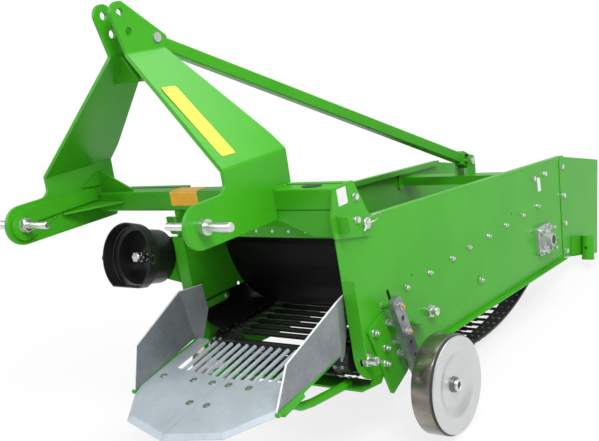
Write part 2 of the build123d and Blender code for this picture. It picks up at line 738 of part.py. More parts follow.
# The first rod sits in the sprockets' gap half way round the drive.
upper_start = (abs(arrive_angle + 360 - upper_angle)) * pi / 180 * IDLER_TURN
half_wrap_angle = (upper_angle + leave_angle) / 2
upper_straight = sqrt(span.length**2 - (DRIVE_TURN - IDLER_TURN) ** 2)
first_rod = upper_start + upper_straight + radians(upper_angle - half_wrap_angle) * DRIVE_TURN
rods = [web_point(first_rod + i * rod_spacing) for i in range(rod_count)]
normals = []
for before, after in zip(rods[-1:] + rods[:-1], rods[1:] + rods[:1]):
    chord = (after - before).normalized()
    normals.append(Vector(-chord.Y, chord.X))
belt_outer = [rod + normal * -BELT_DROP for rod, normal in zip(rods, normals)]
belt_inner = [rod + normal * -(BELT_DROP + BELT_SHEET) for rod, normal in zip(rods, normals)]
with BuildPart() as web:
    belt_in = BELT_OUT - BELT_WIDTH
    for x in (belt_in, -BELT_OUT):
        with BuildSketch(side(x)):
            Polygon(*[(p.X, p.Y) for p in belt_outer], align=None)
            Polygon(*[(p.X, p.Y) for p in belt_inner], align=None, mode=Mode.SUBTRACT)
        extrude(amount=BELT_WIDTH)
    with BuildSketch(side(-belt_in)):
        with Locations(*[(p.X, p.Y) for p in rods]):
            Circle(ROD_RADIUS)
    extrude(amount=2 * belt_in)
keep("web", web.part)

# Drive shaft with two sprockets inside the belts and a drum under each belt.
half_chord = rod_spacing / 2
belt_seat = BELT_DROP + BELT_SHEET + SEAT
drum_radius = sqrt(DRIVE_TURN**2 - half_chord**2) - belt_seat
SPROCKET_X = 180.0
SPROCKET_SHEET = 12.0
SPROCKET_TIP = 2.0
GAP_PLAY = 1.6
DRUM_WALL = 6.0
SHAFT_END = 345.0
GEARBOX_IN_X = 405.0
with BuildPart() as drive_shaft:
    bar((DRIVE_Y, DRIVE_Z), SHAFT_RADIUS, -GEARBOX_IN_X, GEARBOX_IN_X + SHAFT_END)
    with BuildSketch(side(SPROCKET_X - SPROCKET_SHEET / 2)):
        with Locations((DRIVE_Y, DRIVE_Z)):
            Circle(DRIVE_TURN + SPROCKET_TIP)
            with PolarLocations(DRIVE_TURN, DRIVE_TEETH, start_angle=half_wrap_angle):
                Circle(ROD_RADIUS + GAP_PLAY, mode=Mode.SUBTRACT)
            Circle(SHAFT_RADIUS, mode=Mode.SUBTRACT)
    extrude(amount=SPROCKET_SHEET)
    tube((DRIVE_Y, DRIVE_Z), 32, SHAFT_RADIUS, SPROCKET_X - 25, 50)
    tube((DRIVE_Y, DRIVE_Z), drum_radius, drum_radius - DRUM_WALL, belt_in, BELT_WIDTH)
    tube((DRIVE_Y, DRIVE_Z), drum_radius - DRUM_WALL, SHAFT_RADIUS, (belt_in + BELT_OUT) / 2 - 4, 8)
    mirror(about=side(0))
    split(bisect_by=side(SHAFT_END), keep=Keep.BOTTOM)
keep("drive_shaft", drive_shaft.part)

# Flange bearings bolt outside the walls.
FLANGE = 112.0
FLANGE_SHEET = 13.0
with BuildPart() as drive_bearings:
    with BuildSketch(side(WALL_OUT)):
        with Locations(Location((DRIVE_Y, DRIVE_Z), WALL_SLOPE)):
            RectangleRounded(FLANGE, FLANGE, 14)
        with Locations((DRIVE_Y, DRIVE_Z)):
            Circle(SHAFT_RADIUS, mode=Mode.SUBTRACT)
    extrude(amount=FLANGE_SHEET)
    tube((DRIVE_Y, DRIVE_Z), 40, SHAFT_RADIUS, WALL_OUT + FLANGE_SHEET, 8)
    tube((DRIVE_Y, DRIVE_Z), 26, SHAFT_RADIUS, WALL_OUT + FLANGE_SHEET + 8, 12)
    mirror(about=side(0))
keep("drive_bearings", drive_bearings.part)

# Front idler in the walls' slots.
idler_seat = sqrt(IDLER_TURN**2 - half_chord**2) - belt_seat
IDLER_END = 335.0
COLLAR_WIDTH = 6.0
IDLER_COLLAR = 20.0
with BuildPart() as front_idler:
    bar((IDLER_Y, IDLER_Z), IDLER_AXLE_RADIUS, -IDLER_END, 2 * IDLER_END)
    for x in (WALL_OUT - WALL_SHEET - COLLAR_WIDTH, WALL_SHEET - WALL_OUT):
        bar((IDLER_Y, IDLER_Z), IDLER_COLLAR, x, COLLAR_WIDTH)
    for x in (belt_in, -BELT_OUT):
        bar((IDLER_Y, IDLER_Z), idler_seat, x, BELT_WIDTH)
keep("front_idler", front_idler.part)

# A round carrier and an oval agitator hold the upper run.
CARRIER_END = 325.0
AGITATOR_WIDTH = 30.0
AGITATOR_SHORT = 44.0


def below_web(y, z):
    """Distance from a point to the belts' inner faces on the upper run."""
    return upper_offset - upper_normal.dot(Vector(y, z)) - belt_seat


with BuildPart() as web_rollers:
    for y, z in ((CARRIER_Y, CARRIER_Z), (AGITATOR_Y, AGITATOR_Z)):
        bar((y, z), IDLER_AXLE_RADIUS, -CARRIER_END, 2 * CARRIER_END)
    for x in (belt_in, -BELT_OUT):
        bar((CARRIER_Y, CARRIER_Z), below_web(CARRIER_Y, CARRIER_Z), x, BELT_WIDTH)
    belt_middle = (belt_in + BELT_OUT) / 2
    for x in (belt_middle, -belt_middle):
        with BuildSketch(side(x - AGITATOR_WIDTH / 2)):
            with Locations(Location((AGITATOR_Y, AGITATOR_Z), upper_angle)):
                Ellipse(below_web(AGITATOR_Y, AGITATOR_Z), AGITATOR_SHORT)
        extrude(amount=AGITATOR_WIDTH)
keep("web_rollers", web_rollers.part)

# ---------------------------------------------------------------- power take-off line
# The input stub runs in a bearing beside the right wall, a closed tube carries the shaft back to an
# angle gearbox on the end of the drive shaft.
PTO = PARK * Location((PTO_X, 0, PTO_Z))
BEARING_Y = (30.0, 110.0)
HOLDER_SHEET = 10.0
HOLDER_Y = 85.0
GEARBOX_HALF = (65.0, 75.0, 62.0)
tube_rise = degrees(atan2(DRIVE_Z - PTO_Z, DRIVE_Y - BEARING_Y[1]))
LINE = PARK * Location((PTO_X, BEARING_Y[1], PTO_Z), (tube_rise, 0, 0))
with BuildPart() as pto_bearing:
    with BuildSketch(front(BEARING_Y[1], PTO)):
        Circle(BEARING_RADIUS)
        Circle(JOURNAL_RADIUS + AXLE_PLAY, mode=Mode.SUBTRACT)
    extrude(amount=BEARING_Y[1] - BEARING_Y[0])
    with BuildSketch(front(HOLDER_Y)):
        holder_in = -WALL_OUT
        Polygon(
            (holder_in, PTO_Z + 70),
            (PTO_X - 30, PTO_Z + BEARING_RADIUS + 14),
            (PTO_X - BEARING_RADIUS - 14, PTO_Z),
            (PTO_X - 30, PTO_Z - BEARING_RADIUS - 14),
            (holder_in, PTO_Z - 90),
            align=None,
        )
        with Locations((PTO_X, PTO_Z)):
            Circle(BEARING_RADIUS - 1, mode=Mode.SUBTRACT)
    extrude(amount=HOLDER_SHEET)
keep("pto_bearing", pto_bearing.part)

# Guard: an open cup round the stub, flat below, stepped in to a narrower neck over the bearing.
GUARD_FLAT = 95.0
GUARD_STEPS = ((PTO_RIM_Y, GUARD_RADIUS), (-18.0, 108.0), (-14.0, 91.0), (72.0, GUARD_REAR_RADIUS))


def guard_form(less):
    """The guard's cup and neck as a solid, smaller by less all round."""
    with BuildPart() as form:
        for y, radius in reversed(GUARD_STEPS):
            with BuildSketch(front(y, PTO)):
                Circle(radius - less)
        loft(ruled=True)
        with BuildSketch(level(less - GUARD_FLAT, PTO)):
            Rectangle(4 * GUARD_RADIUS, 4 * GUARD_RADIUS)
        extrude(amount=-GUARD_RADIUS, mode=Mode.SUBTRACT)
    return form.part


with BuildPart() as pto_guard:
    add(guard_form(0))
    add(guard_form(GUARD_WALL), mode=Mode.SUBTRACT)
    with BuildSketch(front(GUARD_STEPS[-1][0], PTO)):
        Circle(GUARD_REAR_RADIUS)
        Circle(BEARING_RADIUS + SEAT, mode=Mode.SUBTRACT)
    extrude(amount=GUARD_WALL)
keep("pto_guard", pto_guard.part)

# Input stub, free to turn in its bearing on a thicker journal.
STUB_END_Y = -22.0
with BuildPart() as pto_stub:
    with BuildSketch(front(BEARING_Y[1] - 5, PTO)):
        Circle(JOURNAL_RADIUS)
    extrude(amount=BEARING_Y[1] - 5 - BEARING_Y[0])
    with BuildSketch(front(BEARING_Y[0], PTO)):
        Circle(STUB_RADIUS)
    extrude(amount=BEARING_Y[0] - STUB_END_Y)
    chamfer(edges().group_by(Axis.Y)[0], 2)
keep("pto_stub", pto_stub.part)

with BuildPart() as drive_tube:
    with BuildSketch(front(-TUBE_RADIUS, LINE)):
        Circle(TUBE_RADIUS)
        Circle(TUBE_RADIUS - 4, mode=Mode.SUBTRACT)
    extrude(amount=-(DRIVE_Y - BEARING_Y[1]))
    split(bisect_by=front(BEARING_Y[1]), keep=Keep.BOTTOM)
    split(bisect_by=front(DRIVE_Y - GEARBOX_HALF[1]), keep=Keep.TOP)
    with BuildSketch(front(BEARING_Y[1], PTO)):
        Circle(BEARING_RADIUS)
    extrude(amount=-8)
keep("drive_tube", drive_tube.part)

with BuildPart() as rear_gearbox:
    with BuildSketch(side(PTO_X - GEARBOX_HALF[0])):
        with Locations((DRIVE_Y, DRIVE_Z)):
            RectangleRounded(2 * GEARBOX_HALF[1], 2 * GEARBOX_HALF[2], 22)
    extrude(amount=2 * GEARBOX_HALF[0])
    fillet(faces().sort_by(Axis.X)[0].edges(), 12)
    tube((DRIVE_Y, DRIVE_Z), 46, SHAFT_RADIUS, -GEARBOX_IN_X, GEARBOX_IN_X - SHAFT_END)
keep("rear_gearbox", rear_gearbox.part)

# ---------------------------------------------------------------- share
# Two plates meet on the middle line; fingers behind them bridge to the web.
share_slope = radians(SHARE_SLOPE)
SHARE = PARK * Location((0, TIP_Y, TIP_Z), (SHARE_SLOPE, 0, 0))
with BuildPart() as share_plates:
    with BuildSketch(level(0, SHARE)):
        Polygon(
            (0.5, 0),
            (SHARE_SHOULDER[0], SHARE_SHOULDER[1]),
            (SHARE_HALF, SHARE_CORNER_S),
            (SHARE_HALF, STRIP_END_S),
            (SHARE_HALF - STRIP_WIDTH, STRIP_END_S),
            (SHARE_HALF - STRIP_WIDTH, SHARE_REAR_S),
            (0.5, SHARE_NOTCH_S),
            align=None,
        )
    extrude(amount=SHARE_SHEET)
    flat = level(0, SHARE)
    blade = []
    for edge in edges():
        middle = flat.to_local_coords(edge.center())
        if middle.Z > SHARE_SHEET - 1 and middle.X > 1 and middle.Y < SHARE_CORNER_S:
            blade.append(edge)
    upper_face = faces().sort_by(Axis(flat.origin, flat.z_dir))[-1]
    chamfer(blade, length=SHARE_BEVEL, length2=SHARE_SHEET - SHARE_EDGE, reference=upper_face)
    mirror(about=side(0))
keep("share_plates", share_plates.part)

with BuildPart() as share_fingers:
    finger_end = (FINGER_TIP_Y - TIP_Y) / cos(share_slope)
    for i in range(FINGER_COUNT):
        x = (i - (FINGER_COUNT - 1) / 2) * FINGER_PITCH
        start = SHARE_NOTCH_S + (SHARE_REAR_S - SHARE_NOTCH_S) * abs(x) / (SHARE_HALF - STRIP_WIDTH)
        with BuildSketch(front(start + FINGER_RADIUS * 0.1, SHARE)):
            with Locations((x, SHARE_SHEET / 2)):
                Circle(FINGER_RADIUS)
        extrude(amount=-(finger_end - start))
keep("share_fingers", share_fingers.part)

# Cheeks: flared plates that stand on the share's edges, bent in behind a slanted fold.
CHEEK_SHEET = 5.0
CHEEK_FLARE = 7.25
cheek_foot = (
    TIP_Y + SHARE_CORNER_S * cos(share_slope),
    TIP_Z + SHARE_CORNER_S * sin(share_slope) + SHARE_SHEET / cos(share_slope),
)


def cheek_x(z):
    """X of the left cheek's outer face before its fold, at height z."""
    return SHARE_HALF + CHEEK_SHEET + (z - cheek_foot[1]) * tan(radians(CHEEK_FLARE))


cheek_plane = PARK * Location((cheek_x(0), 0, 0), (0, CHEEK_FLARE, 0))
upright = cos(radians(CHEEK_FLARE))
FOLD_TOP, FOLD_FOOT = (8.0, 411.0), (66.0, 240.0)
with BuildPart() as share_cheeks:
    with BuildSketch(side(0, cheek_plane)):
        Polygon(
            (cheek_foot[0], cheek_foot[1] / upright),
            (-187, 263 / upright),
            (FOLD_TOP[0], FOLD_TOP[1] / upright),
            (FOLD_FOOT[0], FOLD_FOOT[1] / upright),
            (FINGER_TIP_Y - 5, (cheek_foot[1] + (FINGER_TIP_Y - 5 - cheek_foot[0]) * tan(share_slope)) / upright),
            align=None,
        )
    extrude(amount=-CHEEK_SHEET)
    bend_top = Vector(cheek_x(FOLD_TOP[1]), *FOLD_TOP)
    bend_foot = Vector(cheek_x(FOLD_FOOT[1]), *FOLD_FOOT)
    tail = (Vector(280, 84, 430), Vector(279, 108, 352), Vector(281, 90, 262))
    fold_way = (bend_foot - bend_top).normalized()
    fold_normal = (tail[0] - bend_top).cross(fold_way).normalized()
    if fold_normal.X < 0:
        fold_normal = -fold_normal
    fold_plane = Plane(PARK * Plane(origin=bend_top, x_dir=fold_way, z_dir=fold_normal).location)
    level_fold = Plane(origin=bend_top, x_dir=fold_way, z_dir=fold_normal)
    tail_flat = [level_fold.to_local_coords(point) for point in (bend_top, *tail, bend_foot)]
    with BuildSketch(fold_plane):
        Polygon(*[(point.X, point.Y) for point in tail_flat], align=None)
    extrude(amount=-CHEEK_SHEET)
    mirror(about=side(0))
keep("share_cheeks", share_cheeks.part)

# The share's carrier hangs on two bent tubes from a cross plate between the walls.
CARRIER_SHEET = 12.0
CARRIER_S = (190.0, 285.0)
RAIL_WIDTH = 12.0
ARM_X = 227.0
ARM_RADIUS = 12.5
ARM_RUN = ((-128.0, 150.0), (-52.0, 126.0), (0.0, 129.0), (178.0, 158.0))
ARM_BEND = 55.0
PAN_LOW, PAN_HIGH = (150.0, 143.0), (250.0, 156.0)
PAN_SHEET = 6.0
PAN_TAB = ((196, 149), (252, 156.5), (300, 240), (236, 240))
with BuildPart() as share_support:
    with BuildSketch(level(0, SHARE)):
        with Locations((0, (CARRIER_S[0] + CARRIER_S[1]) / 2)):
            Rectangle(2 * (SHARE_HALF + RAIL_WIDTH), CARRIER_S[1] - CARRIER_S[0])
    extrude(amount=-CARRIER_SHEET)
    with BuildSketch(level(0, SHARE)):
        for hand in (1, -1):
            with Locations((hand * (SHARE_HALF + RAIL_WIDTH / 2), (SHARE_CORNER_S + STRIP_END_S) / 2)):
                Rectangle(RAIL_WIDTH, STRIP_END_S - SHARE_CORNER_S)
    extrude(amount=SHARE_SHEET)
    add(pieces["share_cheeks"], mode=Mode.SUBTRACT)
    for x in (ARM_X, -ARM_X):
        with BuildLine(side(x)) as run:
            FilletPolyline(*ARM_RUN, radius=ARM_BEND)
        with BuildSketch(Plane(origin=run.wire() @ 0, z_dir=run.wire() % 0)):
            Circle(ARM_RADIUS)
        sweep(path=run.wire())
    pan_half = WALL_OUT - WALL_SHEET
    slab(
        (PAN_LOW, PAN_HIGH, (PAN_HIGH[0], PAN_HIGH[1] + PAN_SHEET), (PAN_LOW[0], PAN_LOW[1] + PAN_SHEET)),
        -pan_half,
        2 * pan_half,
    )
    for x in (-pan_half, pan_half - PAN_SHEET):
        slab(PAN_TAB, x, PAN_SHEET)
keep("share_support", share_support.part)

# ---------------------------------------------------------------- wheel legs
# A plate on each wall spreads the load of a slanted bar that carries the wheel's axle.
ARM_PLATE = ((254, 371), (161, 315), (296, 116), (384, 182))
LEG_TOP = (236.5, 403.0)
leg_way = Vector(sin(radians(LEG_LEAN)), -cos(radians(LEG_LEAN)))
LEG_BOLTS = (20.0, 110.0)
LEG_HOLES = (62.0, 152.0, 197.0)
LEG_HOLE_RADIUS = 8.0
SPACER_RADIUS = 10.0
leg_bolts = [Vector(*LEG_TOP) + leg_way * run for run in LEG_BOLTS]
with BuildPart() as arm_plates:
    with BuildSketch(side(WALL_OUT)):
        rounded(*[(*corner, 10) for corner in ARM_PLATE])
    extrude(amount=END_SHEET)
    mirror(about=side(0))
keep("arm_plates", arm_plates.part)

BRACKET_ARM = ((372, 330), (452, 318), (420, 246), (392, 236))
with BuildPart() as leg_spacers:
    first, second = leg_bolts
    bar((second.X, second.Y), SPACER_RADIUS, WALL_OUT + END_SHEET, LEG_IN_X - WALL_OUT - END_SHEET)
    bar((first.X, first.Y), SPACER_RADIUS, WALL_OUT, LEG_IN_X - WALL_OUT)
    slab(BRACKET_ARM, WALL_OUT, 6)
    slab((BRACKET_ARM[0], BRACKET_ARM[1], (450, 311), (371, 323)), WALL_OUT, LEG_IN_X - WALL_OUT)
    mirror(about=side(0))
keep("leg_spacers", leg_spacers.part)

LEG = PARK * Location((0, *LEG_TOP), (LEG_LEAN, 0, 0))
AXLE_BOSS_RADIUS = 20.0
with BuildPart() as wheel_legs:
    with BuildSketch(side(LEG_IN_X, LEG)):
        with Locations((0, -LEG_LENGTH / 2 + 6)):
            RectangleRounded(LEG_WIDTH, LEG_LENGTH, 8)
        with Locations(*[(0, -run) for run in LEG_HOLES]):
            Circle(LEG_HOLE_RADIUS, mode=Mode.SUBTRACT)
    extrude(amount=LEG_SHEET)
    wheel_centre = (WHEEL_Y, WHEEL_RADIUS)
    leg_out = LEG_IN_X + LEG_SHEET
    bar(wheel_centre, AXLE_BOSS_RADIUS, leg_out, WHEEL_INNER_X - SIDE_PLAY - leg_out)
    bar(wheel_centre, AXLE_RADIUS, leg_out, AXLE_END - leg_out)
    cap_from = AXLE_END - AXLE_CAP
    bar(wheel_centre, AXLE_CAP_RADIUS, cap_from, AXLE_CAP)
    mirror(about=side(0))
keep("wheel_legs", wheel_legs.part)

# Steel wheels: a rim with a dished disc and a hub.
DISH_RADIUS, DISH_FLAT_RADIUS = 108.0, 70.0
DISH_DEPTH = 16.0
DISC_X = WHEEL_INNER_X + WHEEL_WIDTH - DISC_SHEET - 2.0
HUB_END = cap_from - SIDE_PLAY
RIM_RIDGE = 3.0
for name, hand in (("wheel_left", 1), ("wheel_right", -1)):
    with BuildPart() as wheel:
        outer_x = WHEEL_INNER_X + WHEEL_WIDTH
        rim_in = WHEEL_RADIUS - RIM_SHEET
        spin = Plane(
            PARK * Plane(origin=(0, WHEEL_Y, WHEEL_RADIUS), x_dir=(hand, 0, 0), z_dir=(0, 1, 0)).location
        )
        up = 1 if spin.y_dir.Z > 0 else -1
        with BuildSketch(spin):
            profile = (
                (WHEEL_INNER_X, AXLE_RADIUS + AXLE_PLAY),
                (HUB_END, AXLE_RADIUS + AXLE_PLAY),
                (HUB_END, HUB_RADIUS),
                (DISC_X - DISH_DEPTH + DISC_SHEET, HUB_RADIUS),
                (DISC_X - DISH_DEPTH + DISC_SHEET, DISH_FLAT_RADIUS),
                (DISC_X + DISC_SHEET, DISH_RADIUS),
                (DISC_X + DISC_SHEET, rim_in),
                (outer_x, rim_in),
                (outer_x, WHEEL_RADIUS - RIM_RIDGE),
                (outer_x - RIM_RIDGE, WHEEL_RADIUS),
                (WHEEL_INNER_X + RIM_RIDGE, WHEEL_RADIUS),
                (WHEEL_INNER_X, WHEEL_RADIUS - RIM_RIDGE),
                (WHEEL_INNER_X, rim_in),
                (DISC_X, rim_in),
                (DISC_X, DISH_RADIUS),
                (DISC_X - DISH_DEPTH, DISH_FLAT_RADIUS),
                (DISC_X - DISH_DEPTH, HUB_RADIUS),
                (WHEEL_INNER_X, HUB_RADIUS),
            )
            Polygon(*[(x, up * r) for x, r in profile], align=None)
        revolve(axis=Axis(spin.origin, spin.x_dir))
    keep(name, wheel.part)

# ---------------------------------------------------------------- rubber
# A curtain hangs from a strip under the beam and trails over the web, between the side skirts.
SKIRT_SHEET = 4.0
SKIRT_IN_X = 212.0
SKIRT_Y = (150.0, 1330.0)
SKIRT_HOLD = 14.0
SKIRT_LIFT = 3.0
SKIRT_CLAMP_Z = (372.0, 687.0)
SKIRT_FALL = 0.62
SKIRT_BEND = 8.0
CURTAIN_SHEET = 5.0
CURTAIN = ((104.0, 614.0), (104.0, 588.0), (206.0, 568.0), (248.0, 486.0), (306.0, 420.0), (386.0, 376.0))
CURTAIN_BENDS = (8.0, 30.0, 90.0, 90.0)
CURTAIN_GAP = 2.0
with BuildPart() as clamp_strips:
    clamp_half = WALL_OUT - WALL_SHEET
    slab(((96, 584), (104, 584), (104, 616), (96, 616)), -clamp_half, 2 * clamp_half)
keep("clamp_strips", clamp_strips.part)

with BuildPart() as front_curtain:
    with BuildSketch(side(-clamp_half + CURTAIN_GAP)):
        with BuildLine():
            outer_line = FilletPolyline(*CURTAIN, radius=CURTAIN_BENDS)
            offset(outer_line, amount=CURTAIN_SHEET, side=Side.LEFT)
        make_face()
    extrude(amount=2 * (clamp_half - CURTAIN_GAP))
    skirt_space = (
        *[(y, z + SKIRT_HOLD + CURTAIN_GAP) for y, z in zip(SKIRT_Y, SKIRT_CLAMP_Z)],
        *[(y, SKIRT_CLAMP_Z[0] / 2) for y in reversed(SKIRT_Y)],
    )
    skirt_inner = SKIRT_IN_X - CURTAIN_GAP
    for hand in (1, -1):
        slab(skirt_space, hand * skirt_inner, hand * (clamp_half - skirt_inner), mode=Mode.SUBTRACT)
keep("front_curtain", front_curtain.part)

# Skirts along both walls fold down over the web's edges.
def web_top(y):
    """Height of the rods' tops on the upper run at y."""
    return (upper_offset - upper_normal.X * y) / upper_normal.Y + ROD_RADIUS / upper_normal.Y


with BuildPart() as side_skirts:
    for y, clamp_z in zip(SKIRT_Y, SKIRT_CLAMP_Z):
        low = web_top(y) + SKIRT_LIFT
        fall = (clamp_z - low) * SKIRT_FALL
        with BuildSketch(front(y)):
            with BuildLine():
                hung = FilletPolyline(
                    (clamp_half, clamp_z + SKIRT_HOLD),
                    (clamp_half, clamp_z),
                    (clamp_half - fall / 6, clamp_z - fall),
                    (SKIRT_IN_X, low + SKIRT_LIFT),
                    radius=(SKIRT_BEND, fall / 2),
                )
                offset(hung, amount=SKIRT_SHEET, side=Side.RIGHT)
            make_face()
    loft(ruled=True)
    mirror(about=side(0))
keep("side_skirts", side_skirts.part)

for name, piece in pieces.items():
    export_step(piece, f"parts/{name}.step")
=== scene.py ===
import json
from math import asin, atan2, cos, hypot, pi, radians, sin, sqrt, tan

import bpy
from mathutils import Matrix, Vector


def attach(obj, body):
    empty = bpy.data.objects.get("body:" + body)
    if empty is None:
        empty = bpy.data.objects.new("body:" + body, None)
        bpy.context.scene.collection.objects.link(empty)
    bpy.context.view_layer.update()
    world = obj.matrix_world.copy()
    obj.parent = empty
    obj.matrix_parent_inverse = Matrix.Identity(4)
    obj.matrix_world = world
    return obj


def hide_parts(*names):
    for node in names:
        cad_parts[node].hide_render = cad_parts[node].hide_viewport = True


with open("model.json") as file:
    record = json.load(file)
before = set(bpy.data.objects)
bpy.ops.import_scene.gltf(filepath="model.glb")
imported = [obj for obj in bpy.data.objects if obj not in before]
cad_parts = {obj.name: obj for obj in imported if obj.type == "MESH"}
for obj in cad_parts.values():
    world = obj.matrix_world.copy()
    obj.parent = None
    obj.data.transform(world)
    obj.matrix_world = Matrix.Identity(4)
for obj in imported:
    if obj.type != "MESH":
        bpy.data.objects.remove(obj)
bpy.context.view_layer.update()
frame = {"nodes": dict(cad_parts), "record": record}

record = frame["record"]
nodes = frame["nodes"]

# ---- frames, in metres
# The level frame has X to the machine's left from the middle of the web, Y rearwards, and Z up
# from the wheels' lowest points. The machine rests tilted back, on its wheels and its rear lower
# corners.
WHEEL_Y, WHEEL_RADIUS = 0.3854, 0.1515
SHARE_TIP = (-0.360, 0.055)
SHARE_SLOPE = radians(25.1)
PANEL_REAR_Y, PANEL_LOW_Z, PANEL_TOP_Z = 1.937, 0.488, 0.890
MIDDLE_X = 0.1624
WALL_OUT, WALL_SHEET = 0.297, 0.004
END_SHEET, PANEL_SHEET, COVER_SHEET = 0.008, 0.003, 0.0020
HITCH_X = -0.305
PTO_X, PTO_Z = -0.470, 0.515
CARRIER, AGITATOR = (0.518, 0.348), (0.861, 0.428)
BEAM_Y, BEAM_Z = 0.017, 0.663
BODY_LEAN = radians(15.5)
DRIVE = (1.372, 0.557)
IDLER = (0.163, 0.235)
SKIRT_FRONT, SKIRT_REAR = (0.150, 0.372), (1.330, 0.687)
LEG_OUT = 0.355

corner_run, corner_rise = PANEL_REAR_Y - WHEEL_Y, PANEL_LOW_Z - WHEEL_RADIUS
TILT = -(atan2(corner_rise, corner_run) + asin(WHEEL_RADIUS / hypot(corner_run, corner_rise)))


def tilted(y, z):
    """Rearward and upward place of a level point in the machine at rest, before it is centred."""
    return y * cos(TILT) - z * sin(TILT), y * sin(TILT) + z * cos(TILT)


middle_y = (tilted(*SHARE_TIP)[0] + tilted(PANEL_REAR_Y, PANEL_TOP_Z)[0]) / 2
lift = WHEEL_RADIUS - tilted(WHEEL_Y, WHEEL_RADIUS)[1]
LEVEL = Matrix.Translation((MIDDLE_X, -middle_y, lift)) @ Matrix.Rotation(TILT, 4, "X")
HEAD = LEVEL @ Matrix.Translation((0, BEAM_Y, BEAM_Z)) @ Matrix.Rotation(BODY_LEAN, 4, "X")
SHARE = LEVEL @ Matrix.Translation((0, *SHARE_TIP)) @ Matrix.Rotation(SHARE_SLOPE, 4, "X")
LEFT, FORWARD, REARWARD, UP = map(Vector, ((1, 0, 0), (0, -1, 0), (0, 1, 0), (0, 0, 1)))
RIGHT = -LEFT
SIDES = ((1, LEFT), (-1, RIGHT))


# ---- modelling helpers
def only(*objects):
    """Selects these objects alone, the first one active."""
    bpy.ops.object.select_all(action="DESELECT")
    for thing in objects:
        thing.select_set(True)
    bpy.context.view_layer.objects.active = objects[0]


def around(count):
    """Angles of count points evenly round a circle."""
    return [2 * pi * k / count for k in range(count)]


def sweep(start, run, count):
    """Angles of count + 1 points from start through run."""
    return [start + run * k / count for k in range(count + 1)]


def meshed(name, points, faces):
    """New object of these points and faces."""
    mesh = bpy.data.meshes.new(name)
    mesh.from_pydata(points, [], faces)
    solid = bpy.data.objects.new(name, mesh)
    bpy.context.collection.objects.link(solid)
    only(solid)
    return solid


def faced_out(solid):
    """The solid with every face turned outward."""
    only(solid)
    bpy.ops.object.mode_set(mode="EDIT")
    bpy.ops.mesh.select_all(action="SELECT")
    bpy.ops.mesh.normals_make_consistent(inside=False)
    bpy.ops.object.mode_set(mode="OBJECT")
    return solid


def joined(*solids):
    """One object made of these solids."""
    only(*solids)
    if len(solids) > 1:
        bpy.ops.object.join()
    return bpy.context.object


def bevelled(solid, width, segments=2, angle=40):
    """The solid with its sharper edges rounded."""
    only(solid)
    rounding = solid.modifiers.new("rounding", "BEVEL")
    rounding.width, rounding.segments = width, segments
    rounding.limit_method, rounding.angle_limit = "ANGLE", radians(angle)
    bpy.ops.object.modifier_apply(modifier=rounding.name)
    return solid


def standing(point, way, place, spin=0.0):
    """Matrix that stands a solid made along Z on a point of a frame, pointing a way."""
    turn = way.to_track_quat("Z", "Y").to_matrix().to_4x4()
    return place @ Matrix.Translation(point) @ turn @ Matrix.Rotation(spin, 4, "Z")


def copied(master, matrix):
    """A copy of a master with its own mesh, its place in the mesh."""
    twin = master.copy()
    twin.data = master.data.copy()
    twin.data.transform(matrix)
    bpy.context.collection.objects.link(twin)
    return twin


def discard(*masters):
    for master in masters:
        bpy.data.objects.remove(master, do_unlink=True)


def piece(solid, name, material, body="frame", smooth=35):
    """Names a finished solid, gives it its material and slot, and sets it on its body."""
    only(solid)
    solid.name = name
    solid.data.name = name
    if smooth:
        bpy.ops.object.shade_smooth_by_angle(angle=radians(smooth))
    solid.data.materials.clear()
    solid.data.materials.append(material)
    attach(solid, body)
    return solid


def pipe(points, radius, sides=10, name="pipe", cyclic=False, weights=None):
    """Round bar or bead along points, closed at its ends."""
    curve = bpy.data.curves.new(name, "CURVE")
    curve.dimensions = "3D"
    curve.bevel_depth = radius
    curve.bevel_resolution = max(1, sides // 4 - 1)
    curve.use_fill_caps = not cyclic
    line = curve.splines.new("POLY")
    line.points.add(len(points) - 1)
    for point, at, weight in zip(line.points, points, weights or [1.0] * len(points)):
        point.co = (*at, 1)
        point.radius = weight
    line.use_cyclic_u = cyclic
    bar = bpy.data.objects.new(name, curve)
    bpy.context.collection.objects.link(bar)
    only(bar)
    bpy.ops.object.convert(target="MESH")
    return bpy.context.object


def quads(k, after, count, closed=True):
    """Faces between loop k and loop after of count points each."""
    pairs = [(i, (i + 1) % count) for i in range(count if closed else count - 1)]
    near, far = k * count, after * count
    return [(near + i, near + j, far + j, far + i) for i, j in pairs]


def skinned(loops):
    """Solid skinned over loops of points with equal counts, closed by flat ends."""
    count = len(loops[0])
    faces = []
    for k in range(len(loops) - 1):
        faces += quads(k, k + 1, count)
    faces.append(tuple(range(count)))
    faces.append(tuple((len(loops) - 1) * count + i for i in range(count)))
    return faced_out(meshed("skin", [point for loop in loops for point in loop], faces))


def turned(rings, sides=16):
    """Solid standing along Z through rings of (radius, height), with as many sides."""
    ways = [(-sin(a), cos(a)) for a in around(sides)]
    return skinned([[(r * x, r * y, height) for x, y in ways] for r, height in rings])


def plate(outline, thickness):
    """Flat plate on Z 0 from points (x, y), thickness high."""
    return skinned([[(x, y, z) for x, y in outline] for z in (0, thickness)])


def cloth(rows, thickness, name):
    """Sheet through rows of points, given its thickness on both sides of them."""
    count = len(rows[0])
    faces = []
    for k in range(len(rows) - 1):
        faces += quads(k, k + 1, count, closed=False)
    sheet = meshed(name, [point for row in rows for point in row], faces)
    thicken = sheet.modifiers.new("thickness", "SOLIDIFY")
    thicken.thickness, thicken.offset = thickness, 0
    bpy.ops.object.modifier_apply(modifier=thicken.name)
    return faced_out(sheet)


